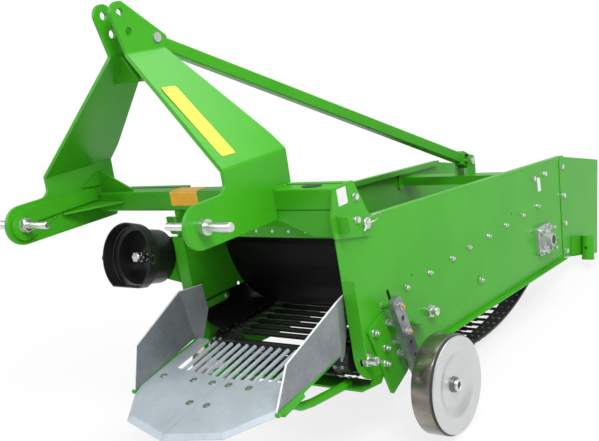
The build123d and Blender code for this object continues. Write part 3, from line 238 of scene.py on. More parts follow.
def filleted(corners, radii, step=0.006):
    """Points along a line of corners (y, z) whose inner corners are rounded."""
    corners = [Vector(corner) for corner in corners]
    points = [corners[0]]
    for before, corner, after, radius in zip(corners, corners[1:], corners[2:], radii):
        come, go = (corner - before).normalized(), (after - corner).normalized()
        turn = come.angle_signed(go)
        reach = radius * tan(abs(turn) / 2)
        start = corner - come * reach
        count = max(3, round(abs(turn) * radius / step))
        side_way = Vector((-come.y, come.x)) * (-1 if turn > 0 else 1)
        centre = start + side_way * radius
        spoke = start - centre
        for i in range(count + 1):
            spun = spoke.copy()
            spun.rotate(Matrix.Rotation(-turn * i / count, 2))
            points.append(centre + spun)
    points.append(corners[-1])
    return points


def run_lengths(points):
    """Length of a line from its first point to each of its points."""
    runs = [0.0]
    for near, far in zip(points, points[1:]):
        runs.append(runs[-1] + (far - near).length)
    return runs


def stretch_at(runs, run):
    """Index of the stretch of a line in which run falls."""
    return max(j for j, done in enumerate(runs[:-1]) if done <= run)


def normals(points):
    """Unit vectors square to a line at its points, turned left from its course."""
    ways = []
    for before, after in zip(points[:1] + points, points[1:] + points[-1:]):
        course = (after - before).normalized()
        ways.append(Vector((-course.y, course.x)))
    return ways


def evened(points, count):
    """The same line as count + 1 points an equal distance apart."""
    runs = run_lengths(points)
    even = []
    for k in range(count + 1):
        run = runs[-1] * k / count
        i = stretch_at(runs, run + 1e-9)
        part = (run - runs[i]) / (runs[i + 1] - runs[i])
        even.append(points[i].lerp(points[i + 1], min(part, 1)))
    return even


def bead(start, end, radius=0.0028, pace=0.0035):
    """Rippled weld bead between two points of a frame."""
    start, end = Vector(start), Vector(end)
    count = max(4, round((end - start).length / pace))
    points = [start.lerp(end, i / count) for i in range(count + 1)]
    weights = [0.55 if i in (0, count) else 1.0 + 0.16 * sin(i * 2.3) for i in range(count + 1)]
    return pipe(points, radius, 8, "bead", weights=weights)


def film(corners, thickness=0.0004, radius=0.08):
    """Thin blank label with rounded corners over four corners of a flat or twisted face."""
    low_left, low_right, high_right, high_left = (Vector(corner) for corner in corners)
    normal = (low_right - low_left).cross(high_left - low_left).normalized()
    outline = []
    for across, up, first in ((1, 0, -90), (1, 1, 0), (0, 1, 90), (0, 0, 180)):
        middle_x, middle_y = (abs(value - radius) for value in (across, up))
        for k in range(5):
            angle = radians(first + 22.5 * k)
            outline.append((middle_x + radius * cos(angle), middle_y + radius * sin(angle)))
    loops = []
    for rise in (0, thickness):
        low = [low_left.lerp(low_right, x) for x, y in outline]
        high = [high_left.lerp(high_right, x) for x, y in outline]
        loops.append([a.lerp(b, y) + normal * rise for a, b, (x, y) in zip(low, high, outline)])
    return skinned(loops)


def moved(solid, matrix):
    """The solid with a frame's matrix put into its mesh."""
    solid.data.transform(matrix)
    return solid


def bar_loops(place, steps, count=40):
    """Rings of (x, radius) about the line through place along X, as loops of points."""
    y, z = place
    return [[(x, y + r * cos(a), z + r * sin(a)) for a in around(count)] for x, r in steps]


def spun(profile, place, turn_in=1, sides=96):
    """Closed profile of (x, radius) turned about the line through place along X."""
    count = len(profile)
    points, faces = [], []
    for k, angle in enumerate(around(sides)):
        y_way, z_way = cos(angle), sin(angle)
        points += [(turn_in * x, place[0] + r * y_way, place[1] + r * z_way) for x, r in profile]
        faces += quads(k, (k + 1) % sides, count)
    return faced_out(meshed("spun", points, faces))


# ---- shader helpers
class Value:
    """A number or colour flowing through a material's nodes, joined to others by arithmetic."""

    def __init__(self, shop, socket):
        self.shop, self.socket = shop, socket

    def maths(self, operation, *others):
        sockets = dict(enumerate((self, *others)))
        node = self.shop.node("ShaderNodeMath", {"operation": operation}, sockets)
        return Value(self.shop, node.outputs[0])

    def __rsub__(self, other):
        node = self.shop.node("ShaderNodeMath", {"operation": "SUBTRACT"}, {0: other, 1: self})
        return Value(self.shop, node.outputs[0])

    def ramp(self, low, high):
        """0 below low, 1 above high, smooth between."""
        sockets = {"Value": self, "From Min": low, "From Max": high}
        node = self.shop.node("ShaderNodeMapRange", {"interpolation_type": "SMOOTHSTEP"}, sockets)
        return Value(self.shop, node.outputs[0])


def opaque(colour):
    return colour if isinstance(colour, Value) else (*colour, 1)


def arithmetic(operation):
    return lambda self, other: self.maths(operation, other)


for sign, operation in (("add", "ADD"), ("sub", "SUBTRACT"), ("mul", "MULTIPLY"), ("pow", "POWER")):
    setattr(Value, f"__{sign}__", arithmetic(operation))


class Shop:
    """Makes one material's nodes. Patterns read Object coordinates, in metres."""

    def __init__(self, name):
        self.material = bpy.data.materials.new(name)
        self.material.use_nodes = True
        self.tree = self.material.node_tree
        self.tree.nodes.clear()
        self.output = self.node("ShaderNodeOutputMaterial")
        self.place = self.node("ShaderNodeTexCoord").outputs["Object"]

    def node(self, kind, settings=(), sockets=()):
        made = self.tree.nodes.new(kind)
        for name, setting in dict(settings).items():
            setattr(made, name, setting)
        for name, value in dict(sockets).items():
            value = value.socket if isinstance(value, Value) else value
            if isinstance(value, bpy.types.NodeSocket):
                self.tree.links.new(value, made.inputs[name])
            else:
                made.inputs[name].default_value = value
        return made

    def noise(self, scale, detail=3.0, roughness=0.5, stretch=(1, 1, 1), distortion=0.0):
        """Cloudy value from 0 to 1, scale in cells a metre."""
        spread = self.node("ShaderNodeMapping", {}, {"Vector": self.place, "Scale": stretch})
        sockets = {"Vector": spread.outputs[0], "Scale": scale, "Detail": detail}
        sockets |= {"Roughness": roughness, "Distortion": distortion}
        return Value(self, self.node("ShaderNodeTexNoise", {}, sockets).outputs["Fac"])

    def cells(self, scale):
        """Distance to the nearest of scattered points, scale in cells a metre."""
        sockets = {"Vector": self.place, "Scale": scale}
        node = self.node("ShaderNodeTexVoronoi", {"feature": "F1"}, sockets)
        return Value(self, node.outputs["Distance"])

    def at(self, axis):
        """Row coordinate along axis 0, 1 or 2, in metres."""
        node = self.node("ShaderNodeSeparateXYZ", {}, {0: self.place})
        return Value(self, node.outputs[axis])

    def mix(self, share, first, second):
        """Colour from first to second as share goes from 0 to 1."""
        sockets = {0: share, 6: opaque(first), 7: opaque(second)}
        node = self.node("ShaderNodeMix", {"data_type": "RGBA"}, sockets)
        return Value(self, node.outputs[2])

    def bump(self, height, strength, distance):
        sockets = {"Height": height, "Strength": strength, "Distance": distance}
        return Value(self, self.node("ShaderNodeBump", {}, sockets).outputs[0])

    def finish(self, colour, roughness, metallic=0.0, normal=None, **fixed):
        """Principled surface. Only the fixed values can't vary over it."""
        sockets = {"Roughness": roughness, "Metallic": metallic}
        sockets["Base Color"] = opaque(colour)
        if normal:
            sockets["Normal"] = normal
        sockets |= {name.replace("_", " "): value for name, value in fixed.items()}
        surface = self.node("ShaderNodeBsdfPrincipled", {}, sockets)
        self.tree.links.new(surface.outputs[0], self.output.inputs[0])
        return self.material


# ---- finishes
def green_paint():
    """Bright gloss enamel sprayed on sheet, with faint orange peel and a little dust."""
    shop = Shop("green_paint")
    clouds = shop.noise(5.0, 4.0)
    speck = shop.noise(160.0, 2.0)
    dust = (shop.noise(14.0, 6.0, 0.65) * speck.ramp(0.35, 0.75)).ramp(0.30, 0.62)
    fresh = shop.mix(clouds.ramp(0.3, 0.7), (0.042, 0.345, 0.008), (0.052, 0.375, 0.012))
    colour = shop.mix(dust * 0.07, fresh, (0.30, 0.40, 0.16))
    peel = shop.noise(420.0, 2.0) * 0.6 + shop.noise(38.0, 2.0) * 0.4
    roughness, skin_bump = clouds * 0.06 + dust * 0.10 + 0.26, shop.bump(peel, 0.06, 0.001)
    return shop.finish(colour, roughness, 0.0, skin_bump, Specular_IOR_Level=0.26)


def galvanised(name, light, dark):
    """Zinc-coated plate: pale blue grey with soft spangle and rolling streaks."""
    shop = Shop(name)
    spangle = shop.cells(90.0)
    grain = shop.noise(700.0, 2.0)
    clouds = shop.noise(9.0, 5.0, 0.6)
    share = (clouds * 0.85 + spangle * 0.15).ramp(0.25, 0.70)
    colour = shop.mix(share, dark, light)
    streaks = shop.noise(60.0, 4.0, 0.6, (1, 0.15, 0.15)).ramp(0.56, 0.74)
    colour = shop.mix(streaks * 0.18, colour, [0.6 * part for part in dark])
    roughness = clouds * 0.12 + grain * 0.08 + 0.36
    return shop.finish(colour, roughness, 0.30, shop.bump(grain * 0.7 + clouds * 0.3, 0.08, 0.0005))


def blued_bar():
    """Dark blue-grey rolled bar, scuffed paler along the grain."""
    shop = Shop("grey_steel")
    clouds = shop.noise(22.0, 4.0, 0.6)
    grain = shop.noise(260.0, 3.0, 0.6, (1, 1, 0.12))
    colour = shop.mix(clouds.ramp(0.3, 0.7), (0.20, 0.21, 0.225), (0.32, 0.33, 0.345))
    colour = shop.mix(grain.ramp(0.60, 0.78) * 0.35, colour, (0.45, 0.46, 0.48))
    return shop.finish(colour, clouds * 0.14 + 0.30, 0.75, shop.bump(grain, 0.12, 0.0006))


def threaded(name, scale, first, second, base, metallic, ridge):
    """Plated fastener, mottled from a first to a second colour, with a thread's fine ridges."""
    shop = Shop(name)
    clouds = shop.noise(scale, 3.0)
    ridges = (shop.at(0) * (2 * pi / THREAD_PITCH)).maths("SINE")
    colour = shop.mix(clouds, first, second)
    return shop.finish(colour, clouds * 0.15 + base, metallic, shop.bump(ridges, ridge, 0.0004))


def grained(name, cloud, sand, colours, rough, metallic, bump):
    """Mottled surface over a fine grain: cloud is (scale, detail), rough (spread, base)."""
    shop = Shop(name)
    clouds, grain = shop.noise(*cloud), shop.noise(sand, 2.0)
    colour = shop.mix(clouds, *colours)
    return shop.finish(colour, clouds * rough[0] + rough[1], metallic, shop.bump(grain, *bump))


def web_steel():
    """Blackened rods and belts, scuffed grey where soil has rubbed."""
    shop = Shop("web_steel")
    clouds = shop.noise(30.0, 4.0, 0.6)
    rub = shop.noise(240.0, 3.0).ramp(0.55, 0.8)
    colour = shop.mix(clouds, (0.010, 0.010, 0.011), (0.030, 0.029, 0.028))
    colour = shop.mix(rub * 0.4, colour, (0.11, 0.105, 0.10))
    return shop.finish(colour, clouds * 0.15 + 0.34, 0.35, shop.bump(clouds, 0.15, 0.001))


def wheel_finish():
    """Silver painted disc inside a bare rolled tread with painted green reflections, dark in the
    groove between them.
    """
    shop = Shop("wheel_paint")
    axle = LEVEL @ Vector((0, WHEEL_Y, WHEEL_RADIUS))
    along, above = shop.at(1) - axle.y, shop.at(2) - axle.z
    radius = (along * along + above * above) ** 0.5
    tread = radius.ramp(0.1478, 0.1484)
    outboard = (shop.at(0) - MIDDLE_X).maths("ABSOLUTE")
    groove = radius.ramp(0.1410, 0.1420) * (1 - radius.ramp(0.1500, 0.1506))
    groove = groove * outboard.ramp(0.4624, 0.4630) * (1 - outboard.ramp(0.4674, 0.4682))
    clouds = shop.noise(16.0, 5.0, 0.6)
    smears = shop.noise(11.0, 4.0, 0.6, (0.4, 1, 1))
    silver = shop.mix(clouds, (0.56, 0.565, 0.57), (0.66, 0.665, 0.67))
    worn = shop.mix(smears.ramp(0.35, 0.65), (0.17, 0.145, 0.125), (0.33, 0.30, 0.27))
    # Green patches on the worn tread are a painted reflection of the green paint nearby.
    tread_with_green_reflection = shop.mix(clouds.ramp(0.60, 0.74) * 0.5, worn, (0.10, 0.24, 0.10))
    colour = shop.mix(tread, silver, tread_with_green_reflection)
    colour = shop.mix(groove * 0.9, colour, (0.020, 0.020, 0.022))
    hub = 1 - radius.ramp(0.0236, 0.0242)
    colour = shop.mix(hub, colour, (0.20, 0.21, 0.23))
    metal = (tread * 0.20 + 0.70) * (1 - groove * 0.8)
    roughness = (1 - tread) * 0.16 + clouds * 0.10 + 0.16
    grain = shop.noise(500.0, 2.0) * 0.3 + smears * 0.7
    return shop.finish(colour, roughness, metal, shop.bump(grain, 0.08, 0.0010))


def rubber(name, tone=0.012):
    """Matt black sheet with a faint moulded grain."""
    shop = Shop(name)
    clouds = shop.noise(7.0, 4.0, 0.6)
    grain = shop.noise(600.0, 2.0)
    tints = (0.8, 0.8, 0.82), (1.6, 1.55, 1.5)
    colour = shop.mix(clouds, *([tone * part for part in tint] for tint in tints))
    surface = shop.bump(grain, 0.12, 0.0006)
    return shop.finish(colour, clouds * 0.14 + 0.40, 0.0, surface, Specular_IOR_Level=0.22)


def vinyl(name, colour):
    """Blank printed film: an even colour with soft grime."""
    shop = Shop(name)
    clouds = shop.noise(25.0, 4.0)
    grimy = [0.88 * part for part in colour]
    return shop.finish(shop.mix(clouds.ramp(0.4, 0.7), colour, grimy), clouds * 0.08 + 0.30, 0.0)


GREEN = green_paint()
SHARE_ZINC = galvanised("galvanised_steel", (0.50, 0.56, 0.62), (0.42, 0.47, 0.53))
CHEEK_ZINC = galvanised("cheek_steel", (0.27, 0.29, 0.31), (0.17, 0.19, 0.21))
# The near-white copy is a painted highlight for the cheeks' top edges.
EDGE_HIGHLIGHT = galvanised("painted_edge_highlight", (0.92, 0.93, 0.94), (0.80, 0.82, 0.83))
GREY_STEEL = blued_bar()
THREAD_PITCH = 0.0018
BARE = (0.44, 0.45, 0.45), (0.62, 0.63, 0.63)
JET = (0.008, 0.008, 0.009), (0.014, 0.014, 0.016)
SOOT = (0.016, 0.016, 0.018), (0.040, 0.040, 0.042)
ZINC = threaded("zinc_hardware", 60.0, (0.60, 0.61, 0.60), (0.80, 0.81, 0.80), 0.22, 0.95, 0.12)
YELLOW_ZINC = threaded("yellow_zinc", 90.0, (0.50, 0.27, 0.10), (0.72, 0.45, 0.20), 0.28, 0.9, 0.25)
CASTING = grained("cast_housing", (40.0, 4.0), 900.0, BARE, (0.1, 0.36), 0.75, (0.25, 0.0008))
PLASTIC = grained("black_plastic", (18.0, 3.0), 800.0, JET, (0.10, 0.26), 0.0, (0.10, 0.0004))
IRON = grained("dark_iron", (20.0, 4.0), 700.0, SOOT, (0.12, 0.40), 0.1, (0.30, 0.001))
WEB = web_steel()
WHEEL = wheel_finish()
RUBBER = rubber("black_rubber", 0.006)
CURTAIN_RUBBER = rubber("curtain_rubber", 0.0035)
YELLOW = vinyl("yellow_film", (0.85, 0.62, 0.02))
ORANGE = vinyl("orange_film", (0.90, 0.44, 0.008))
WHITE = vinyl("white_film", (0.78, 0.78, 0.76))
BLACK = vinyl("black_film", (0.015, 0.016, 0.018))

finish_of = {
    "green_paint": GREEN,
    "galvanised_steel": SHARE_ZINC,
    "zinc_hardware": ZINC,
    "web_steel": WEB,
    "wheel_paint": WHEEL,
    "black_rubber": RUBBER,
    "black_plastic": PLASTIC,
    "dark_iron": IRON,
    "cast_housing": CASTING,
    "grey_steel": GREY_STEEL,
}


def skin(node, material):
    mesh = nodes[node].data
    mesh.materials.clear()
    mesh.materials.append(material)


for part in record["subparts"]:
    skin(part["node"], finish_of[part["material_slot"]])
skin("share_cheeks", CHEEK_ZINC)

# ---- fasteners
NUT_M8, NUT_M12, NUT_M20 = 0.0135, 0.018, 0.030


def washer(radius, thickness=0.0022):
    edge = radius * 0.97
    rounds = (radius, 0.0004), (radius, thickness - 0.0004)
    return turned([(edge, 0), *rounds, (edge, thickness)], 24)


def hexagon(across, low, high):
    """Nut or bolt head with chamfered corners, from height low to high."""
    corner = across / 2 / cos(pi / 6)
    chamfer = 0.09 * across
    middle = [(corner, low + chamfer * 0.4), (corner, high - chamfer * 0.5)]
    return turned([(corner * 0.92, low), *middle, (corner * 0.88, high)], 6)


def stud(radius, low, high):
    """Threaded end with a chamfered tip."""
    return turned([(radius, low), (radius, high - radius * 0.3), (radius * 0.72, high)], 14)


def nut_on_stud(across):
    """Washer, hexagon nut and the stud's end above it, standing on Z 0."""
    height = 0.82 * across * 0.62
    return joined(
        washer(across * 0.62),
        hexagon(across, 0.0020, 0.0020 + height),
        stud(across * 0.30, 0.001, 0.002 + height + 0.45 * across),
    )


def hex_bolt(across):
    """Washer and hexagon head, standing on Z 0."""
    return joined(washer(across * 0.62), hexagon(across, 0.0020, 0.0020 + across * 0.42))


def round_bolt(radius):
    """Domed head, standing on Z 0."""
    angles = map(radians, (15, 35, 55, 75))
    return turned([(radius, 0), *((radius * cos(a), radius * 0.5 * sin(a)) for a in angles)], 20)


def set_out(master, spots):
    """Copies of a master at (point, way, frame) spots, each turned a little further."""
    places = [standing(at, way, place, 0.7 * count) for count, (at, way, place) in enumerate(spots)]
    return [copied(master, matrix) for matrix in places]


def fitted(master, spots, name, material=ZINC):
    """Piece made of copies of a master."""
    return piece(joined(*set_out(master, spots)), name, material)


def on_wall(master, x, way, spots):
    """Copies of a master at (y, z) spots on an upright face at x."""
    return set_out(master, [((x, y, z), way, LEVEL) for y, z in spots])


small_nut, middle_nut = nut_on_stud(NUT_M8), nut_on_stud(NUT_M12)
middle_bolt, dome = hex_bolt(NUT_M12), round_bolt(0.011)

# Rows of nuts and bolts on the walls' outer faces, mirrored to the right.
WALL_NUTS = (
    (0.378, 0.431), (0.518, 0.469), (0.661, 0.509), (0.775, 0.542),
    (0.919, 0.578), (1.052, 0.614), (1.190, 0.650), (1.324, 0.685),
)
WALL_BOLTS = ((1.288, 0.789), (1.389, 0.810))
PANEL_BOLTS = ((1.547, 0.844), (1.566, 0.730), (1.580, 0.618), (1.597, 0.507))
ARM_NUTS = (
    (0.263, 0.333), (0.192, 0.310), (0.302, 0.278),
    (0.253, 0.261), (0.327, 0.238), (0.253, 0.215),
)
LEG_NUTS = ((0.2486, 0.3864), (0.2939, 0.3093))
FRONT_BOLTS = ((0.0937, 0.7022), (0.1032, 0.6378))
LONE_NUT, LONE_DOME = (0.244, 0.386), (0.0493, 0.6168)
plain_nut = joined(washer(0.0118), hexagon(NUT_M12, 0.0020, 0.0115))
bronze_end = stud(0.0058, 0.0110, 0.0190)
long_nut = joined(washer(0.0118), hexagon(NUT_M12, 0.0020, 0.0120), stud(0.0058, 0.0020, 0.0290))
head_rim, head_well = [(0.0120, -0.0004), (0.0118, 0.0006), (0.0096, 0.0003)], (0.0050, 0.0002)
countersunk = turned([*head_rim, head_well, (0.0046, 0.0008)], 24)
small_dome, tiny_dome = round_bolt(0.0085), round_bolt(0.0050)

hardware = []
bronze = []
for hand, way in SIDES:
    wall, plate_face, leg_face = (hand * x for x in (WALL_OUT, WALL_OUT + END_SHEET, LEG_OUT))
    hardware += on_wall(small_nut, wall, way, WALL_NUTS)
    hardware += on_wall(middle_bolt, wall, way, WALL_BOLTS)
    hardware += on_wall(middle_bolt, hand * (WALL_OUT + PANEL_SHEET), way, PANEL_BOLTS)
    hardware += on_wall(middle_nut, plate_face, way, ARM_NUTS)
    hardware += on_wall(small_nut, wall, way, [LONE_NUT])
    hardware += on_wall(small_nut, hand * (WALL_OUT + COVER_SHEET), way, [AGITATOR])
    hardware += on_wall(plain_nut, leg_face, way, LEG_NUTS)
    bronze += on_wall(bronze_end, leg_face, way, LEG_NUTS)
    hardware += on_wall(middle_bolt, plate_face, way, FRONT_BOLTS)
    hardware += on_wall(dome, plate_face, way, [LONE_DOME])
piece(joined(*hardware), "wall_nuts", ZINC)
piece(joined(*bronze), "leg_stud_ends", YELLOW_ZINC)

# Hollow round ends of the web's axles, and the caps of the wheels' axles.
CAP_SEAT_X = 0.4682
ends, bore_shades = [], []
for hand, way in SIDES:
    for (y, z), reach in ((IDLER, 0.335), (CARRIER, 0.325)):
        tip = reach - WALL_OUT
        rings = [(0.0130, 0), (0.0132, tip + 0.0010), (0.0124, tip + 0.0030)]
        sleeve = turned([*rings, (0.0082, tip + 0.0030), (0.0076, tip + 0.0006)], 28)
        nut = joined(washer(0.0200, 0.0026), hexagon(NUT_M20 + 0.006, 0.0024, 0.0145))
        matrix = standing((hand * WALL_OUT, y, z), way, LEVEL, 0.4)
        ends += [moved(sleeve, matrix), moved(nut, matrix)]
    cap_rings = [(0.0184, 0), (0.0187, 0.0010), (0.0187, 0.0072), (0.0172, 0.0092)]
    cap = turned([*cap_rings, (0.0112, 0.0092), (0.0104, 0.0072)], 32)
    cap_matrix = standing((hand * CAP_SEAT_X, WHEEL_Y, WHEEL_RADIUS), way, LEVEL)
    ends.append(moved(cap, cap_matrix))
    # A thin black disc at the bottom of each cap's bore is painted shade.
    bore_shades.append(moved(turned([(0.0104, 0.0071), (0.0100, 0.0076)], 24), cap_matrix))
piece(joined(*ends), "axle_ends", ZINC)
piece(joined(*bore_shades), "axle_bore_shades", BLACK)

# Bearing flanges: long studs at their corners, and a locking collar round the shaft's left end.
WALL_SLOPE = radians(12.45)
FLANGE_STUD = 0.041
studs = []
for hand, way in SIDES:
    for run, rise in ((1, 1), (-1, 1), (-1, -1), (1, -1)):
        run, rise = run * FLANGE_STUD, rise * FLANGE_STUD
        y = DRIVE[0] + run * cos(WALL_SLOPE) - rise * sin(WALL_SLOPE)
        z = DRIVE[1] + run * sin(WALL_SLOPE) + rise * cos(WALL_SLOPE)
        studs.append(((hand * (WALL_OUT + 0.013), y, z), way, LEVEL))
fitted(long_nut, studs, "bearing_studs")
COLLAR = (
    (0.316, 0.0262), (0.318, 0.0300), (0.3215, 0.0300), (0.3235, 0.0262), (0.3300, 0.0262),
    (0.3440, 0.0248), (0.3460, 0.0226), (0.3460, 0.0186), (0.3430, 0.0180),
)
collar = moved(skinned(bar_loops(DRIVE, COLLAR)), LEVEL)
piece(collar, "bearing_collar", CASTING)

# Share bolts, flush in its plates.
share_spots = []
for x, y in ((0.031, -0.129), (0.106, -0.129), (0.228, -0.129), (0.032, -0.220)):
    up_slope = (y - SHARE_TIP[0] + 0.010 * sin(SHARE_SLOPE)) / cos(SHARE_SLOPE)
    share_spots += [((hand * x, up_slope, 0.010), UP, SHARE) for hand in (1, -1)]
fitted(countersunk, share_spots, "share_bolts")

# Thin near-white strips along the cheeks' tops: a painted highlight on their edges.
def cheek_x(z):
    """X of the left cheek's outer face before its fold, at height z."""
    return 0.271 + (z - 0.13773) * tan(radians(7.25))


CHEEK_TOP = ((-0.2069, 0.1390), (-0.1873, 0.2634), (0.0076, 0.4114))
edge_rows = [[(cheek_x(z) + 0.0002, y, z), (cheek_x(z) - 0.0053, y, z)] for y, z in CHEEK_TOP]
edge_rows.append([(0.2803, 0.0838, 0.4304), (0.2750, 0.0832, 0.4304)])
edges = []
for hand in (1, -1):
    mirrored = [[(hand * x, y, z) for x, y, z in row] for row in edge_rows]
    edges.append(moved(cloth(mirrored, 0.0018, "edge"), LEVEL))
piece(joined(*edges), "cheek_edge_highlights", EDGE_HIGHLIGHT, smooth=0)

# Bolts through the curtain's strip, and the strips with domed bolts that hold the skirts.
strip_spots = [((-0.249 + 0.063 * k, 0.096, 0.602), FORWARD, LEVEL) for k in range(9)]
fitted(tiny_dome, strip_spots, "strip_bolts")
clamp_rise = atan2(SKIRT_REAR[1] - SKIRT_FRONT[1], SKIRT_REAR[0] - SKIRT_FRONT[0])


def clamp_z(y):
    """Height of the line along which the skirts are clamped."""
    return SKIRT_FRONT[1] + (y - SKIRT_FRONT[0]) * tan(clamp_rise)


# Each rail starts round at y and runs for a length: a short one forward, a long one rearward.
SHORT_RAIL = (0.2085, -0.118, 0.0120, 0.2825, 0.0)
LONG_RAIL = (0.3160, 1.020, 0.0080, 0.2855, 0.0060)
RAIL_BOLT_Y = 0.2060
clamp_bars, clamp_spots = [], []
for hand in (1, -1):
    way = Vector((-hand, 0, 0))
    for start, run, half, face, rise in (SHORT_RAIL, LONG_RAIL):
        end_way = 1 if run > 0 else -1
        angles = [radians(d) for d in range(-90, 91, 15)]
        round_end = [(-half * cos(a) * end_way, half * sin(a)) for a in angles]
        outline = round_end + [(run, half), (run, -half)]
        rail = bevelled(plate(outline, 0.003), 0.0007, 1)
        along = Matrix.Rotation(clamp_rise, 4, "X")
        stand_up = Matrix(((0, 0, hand, 0), (1, 0, 0, 0), (0, 1, 0, 0), (0, 0, 0, 1)))
        rail_foot = Matrix.Translation((hand * face, start, clamp_z(start) + rise))
        clamp_bars.append(moved(rail, LEVEL @ rail_foot @ along @ stand_up))
    clamp_spots.append(((hand * SHORT_RAIL[3], RAIL_BOLT_Y, clamp_z(RAIL_BOLT_Y)), way, LEVEL))
    for y, z in WALL_NUTS:
        clamp_spots.append(((hand * LONG_RAIL[3], y, clamp_z(y) + 0.005), way, LEVEL))
piece(joined(*map(faced_out, clamp_bars)), "skirt_clamps", GREEN)
fitted(small_dome, clamp_spots, "skirt_bolts")

# ---- wheels
WHEEL_PROFILE = (
    (0.4016, 0.1489), (0.4026, 0.1506), (0.4046, 0.1515), (0.4594, 0.1515), (0.4614, 0.1512),
    (0.4626, 0.1502), (0.4630, 0.1484), (0.4632, 0.1440), (0.4642, 0.1424), (0.4668, 0.1424),
    (0.4680, 0.1432), (0.4690, 0.1450), (0.4708, 0.1456), (0.4726, 0.1450), (0.4738, 0.1434),
    (0.4742, 0.1400), (0.4742, 0.1250), (0.4732, 0.1080), (0.4724, 0.1010), (0.4706, 0.0960),
    (0.4672, 0.0900), (0.4630, 0.0820), (0.4592, 0.0740), (0.4568, 0.0670), (0.4560, 0.0610),
    (0.4560, 0.0250), (0.4566, 0.0234), (0.4584, 0.0230), (0.4660, 0.0230), (0.4670, 0.0222),
    (0.4672, 0.0210), (0.4672, 0.01265), (0.4016, 0.01265), (0.4016, 0.0230), (0.4510, 0.0230),
    (0.4520, 0.0250), (0.4520, 0.0620), (0.4534, 0.0690), (0.4590, 0.0850), (0.4660, 0.0990),
    (0.4690, 0.1080), (0.4690, 0.1330), (0.4660, 0.1385), (0.4600, 0.1405), (0.4016, 0.1425),
)
for hand, name in ((1, "wheel_left"), (-1, "wheel_right")):
    wheel = moved(spun(WHEEL_PROFILE, (WHEEL_Y, WHEEL_RADIUS), hand), LEVEL)
    piece(wheel, name.replace("wheel", "steel_wheel"), WHEEL, body=name, smooth=30)
    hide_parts(name)

# ---- web dressing
# Rods ride on a closed line: round the idler, straight up, round the drive, and back on a sag.
ROD_RADIUS, ROD_PITCH, DRIVE_TEETH = 0.0055, 0.042, 16
IDLER_TURN, DRIVE_TURN = 0.052, DRIVE_TEETH * ROD_PITCH / (2 * pi)
LEAVE_ANGLE, SAG = radians(42), Vector((0.400, 0.170))


def heading(angle):
    return Vector((cos(angle), sin(angle)))


def arc(centre, radius, start, end):
    steps = int(abs(end - start) * radius / 0.002) + 1
    return [centre + heading(start + (end - start) * i / steps) * radius for i in range(steps + 1)]


idler, drive = Vector(IDLER), Vector(DRIVE)
span, back = drive - idler, SAG - idler
upper = atan2(span.y, span.x) + pi / 2 + asin((DRIVE_TURN - IDLER_TURN) / span.length)
arrive = atan2(back.y, back.x) - (pi / 2 - asin(IDLER_TURN / back.length))
leave_way = LEAVE_ANGLE - pi / 2
leave = drive + heading(leave_way) * DRIVE_TURN
droop = tan(LEAVE_ANGLE) * (leave.x - SAG.x) / (leave.y - SAG.y)
SLACK_STEPS = 490
slack = []
for k in range(1, SLACK_STEPS + 1):
    part = 1 - k / SLACK_STEPS
    slack.append(SAG + Vector(((leave.x - SAG.x) * part, (leave.y - SAG.y) * part**droop)))
line = arc(idler, IDLER_TURN, arrive + 2 * pi, upper)
line += arc(drive, DRIVE_TURN, upper, leave_way) + slack + line[:1]
loop_runs = run_lengths(line)
rod_count = round(loop_runs[-1] / ROD_PITCH)
rod_spacing = loop_runs[-1] / rod_count
straight = sqrt(span.length**2 - (DRIVE_TURN - IDLER_TURN) ** 2)
first_rod = (arrive + 2 * pi - upper) * IDLER_TURN + straight + (upper - leave_way) / 2 * DRIVE_TURN
rods = []
for k in range(rod_count):
    run = (first_rod + k * rod_spacing) % loop_runs[-1]
    i = stretch_at(loop_runs, run)
    near, far = line[i : i + 2]
    rods.append(near + (far - near).normalized() * (run - loop_runs[i]))
outward = normals(rods[-1:] + rods + rods[:1])[1:-1]

SLEEVE, SLEEVE_HALF = 0.0082, 0.160
sleeve_end, sleeve_middle = 2 * SLEEVE_HALF, [(SLEEVE, 0.0030), (SLEEVE, 2 * SLEEVE_HALF - 0.0030)]
sleeve = turned([(SLEEVE - 0.0014, 0), *sleeve_middle, (SLEEVE - 0.0014, sleeve_end)], 16)
sleeve_spots = [((-SLEEVE_HALF, *rod), LEFT, LEVEL) for rod in rods]
fitted(sleeve, sleeve_spots, "rod_sleeves", RUBBER)
rivet = turned([(0.0062, 0), (0.0058, 0.0012), (0.0042, 0.0024), (0.0018, 0.0030)], 12)
RIVET_ROWS = (0.225, 0.250, -0.225, -0.250)
INNER_FOOT = 0.0103
return_start, return_end = IDLER_TURN + idler.x + 0.03, leave.x - 0.02


def rivet_row(foot, way):
    """Spots for the four rivets of a rod, their feet at foot."""
    return [((x, foot.x, foot.y), Vector((0, way.x, way.y)), LEVEL) for x in RIVET_ROWS]


rivets = []
for rod, way in zip(rods, outward):
    rivets += rivet_row(rod + way * (ROD_RADIUS - 0.0012), way)
    if way.y < 0 and return_start < rod.x < return_end:
        rivets += rivet_row(rod - way * INNER_FOOT, -way)
fitted(rivet, rivets, "belt_rivets", GREY_STEEL)
discard(sleeve, rivet)

# A round carrier and an oval agitator roll under the belts of the upper run.
BELT_SEAT = 0.0113
AXLE_RADIUS, BELT_IN, BELT_OUT = 0.0125, 0.205, 0.265


def below_web(y, z):
    """Distance from a point to the belts' inner faces on the upper run."""
    way = heading(upper)
    return way.dot(idler) + IDLER_TURN - way.dot(Vector((y, z))) - BELT_SEAT


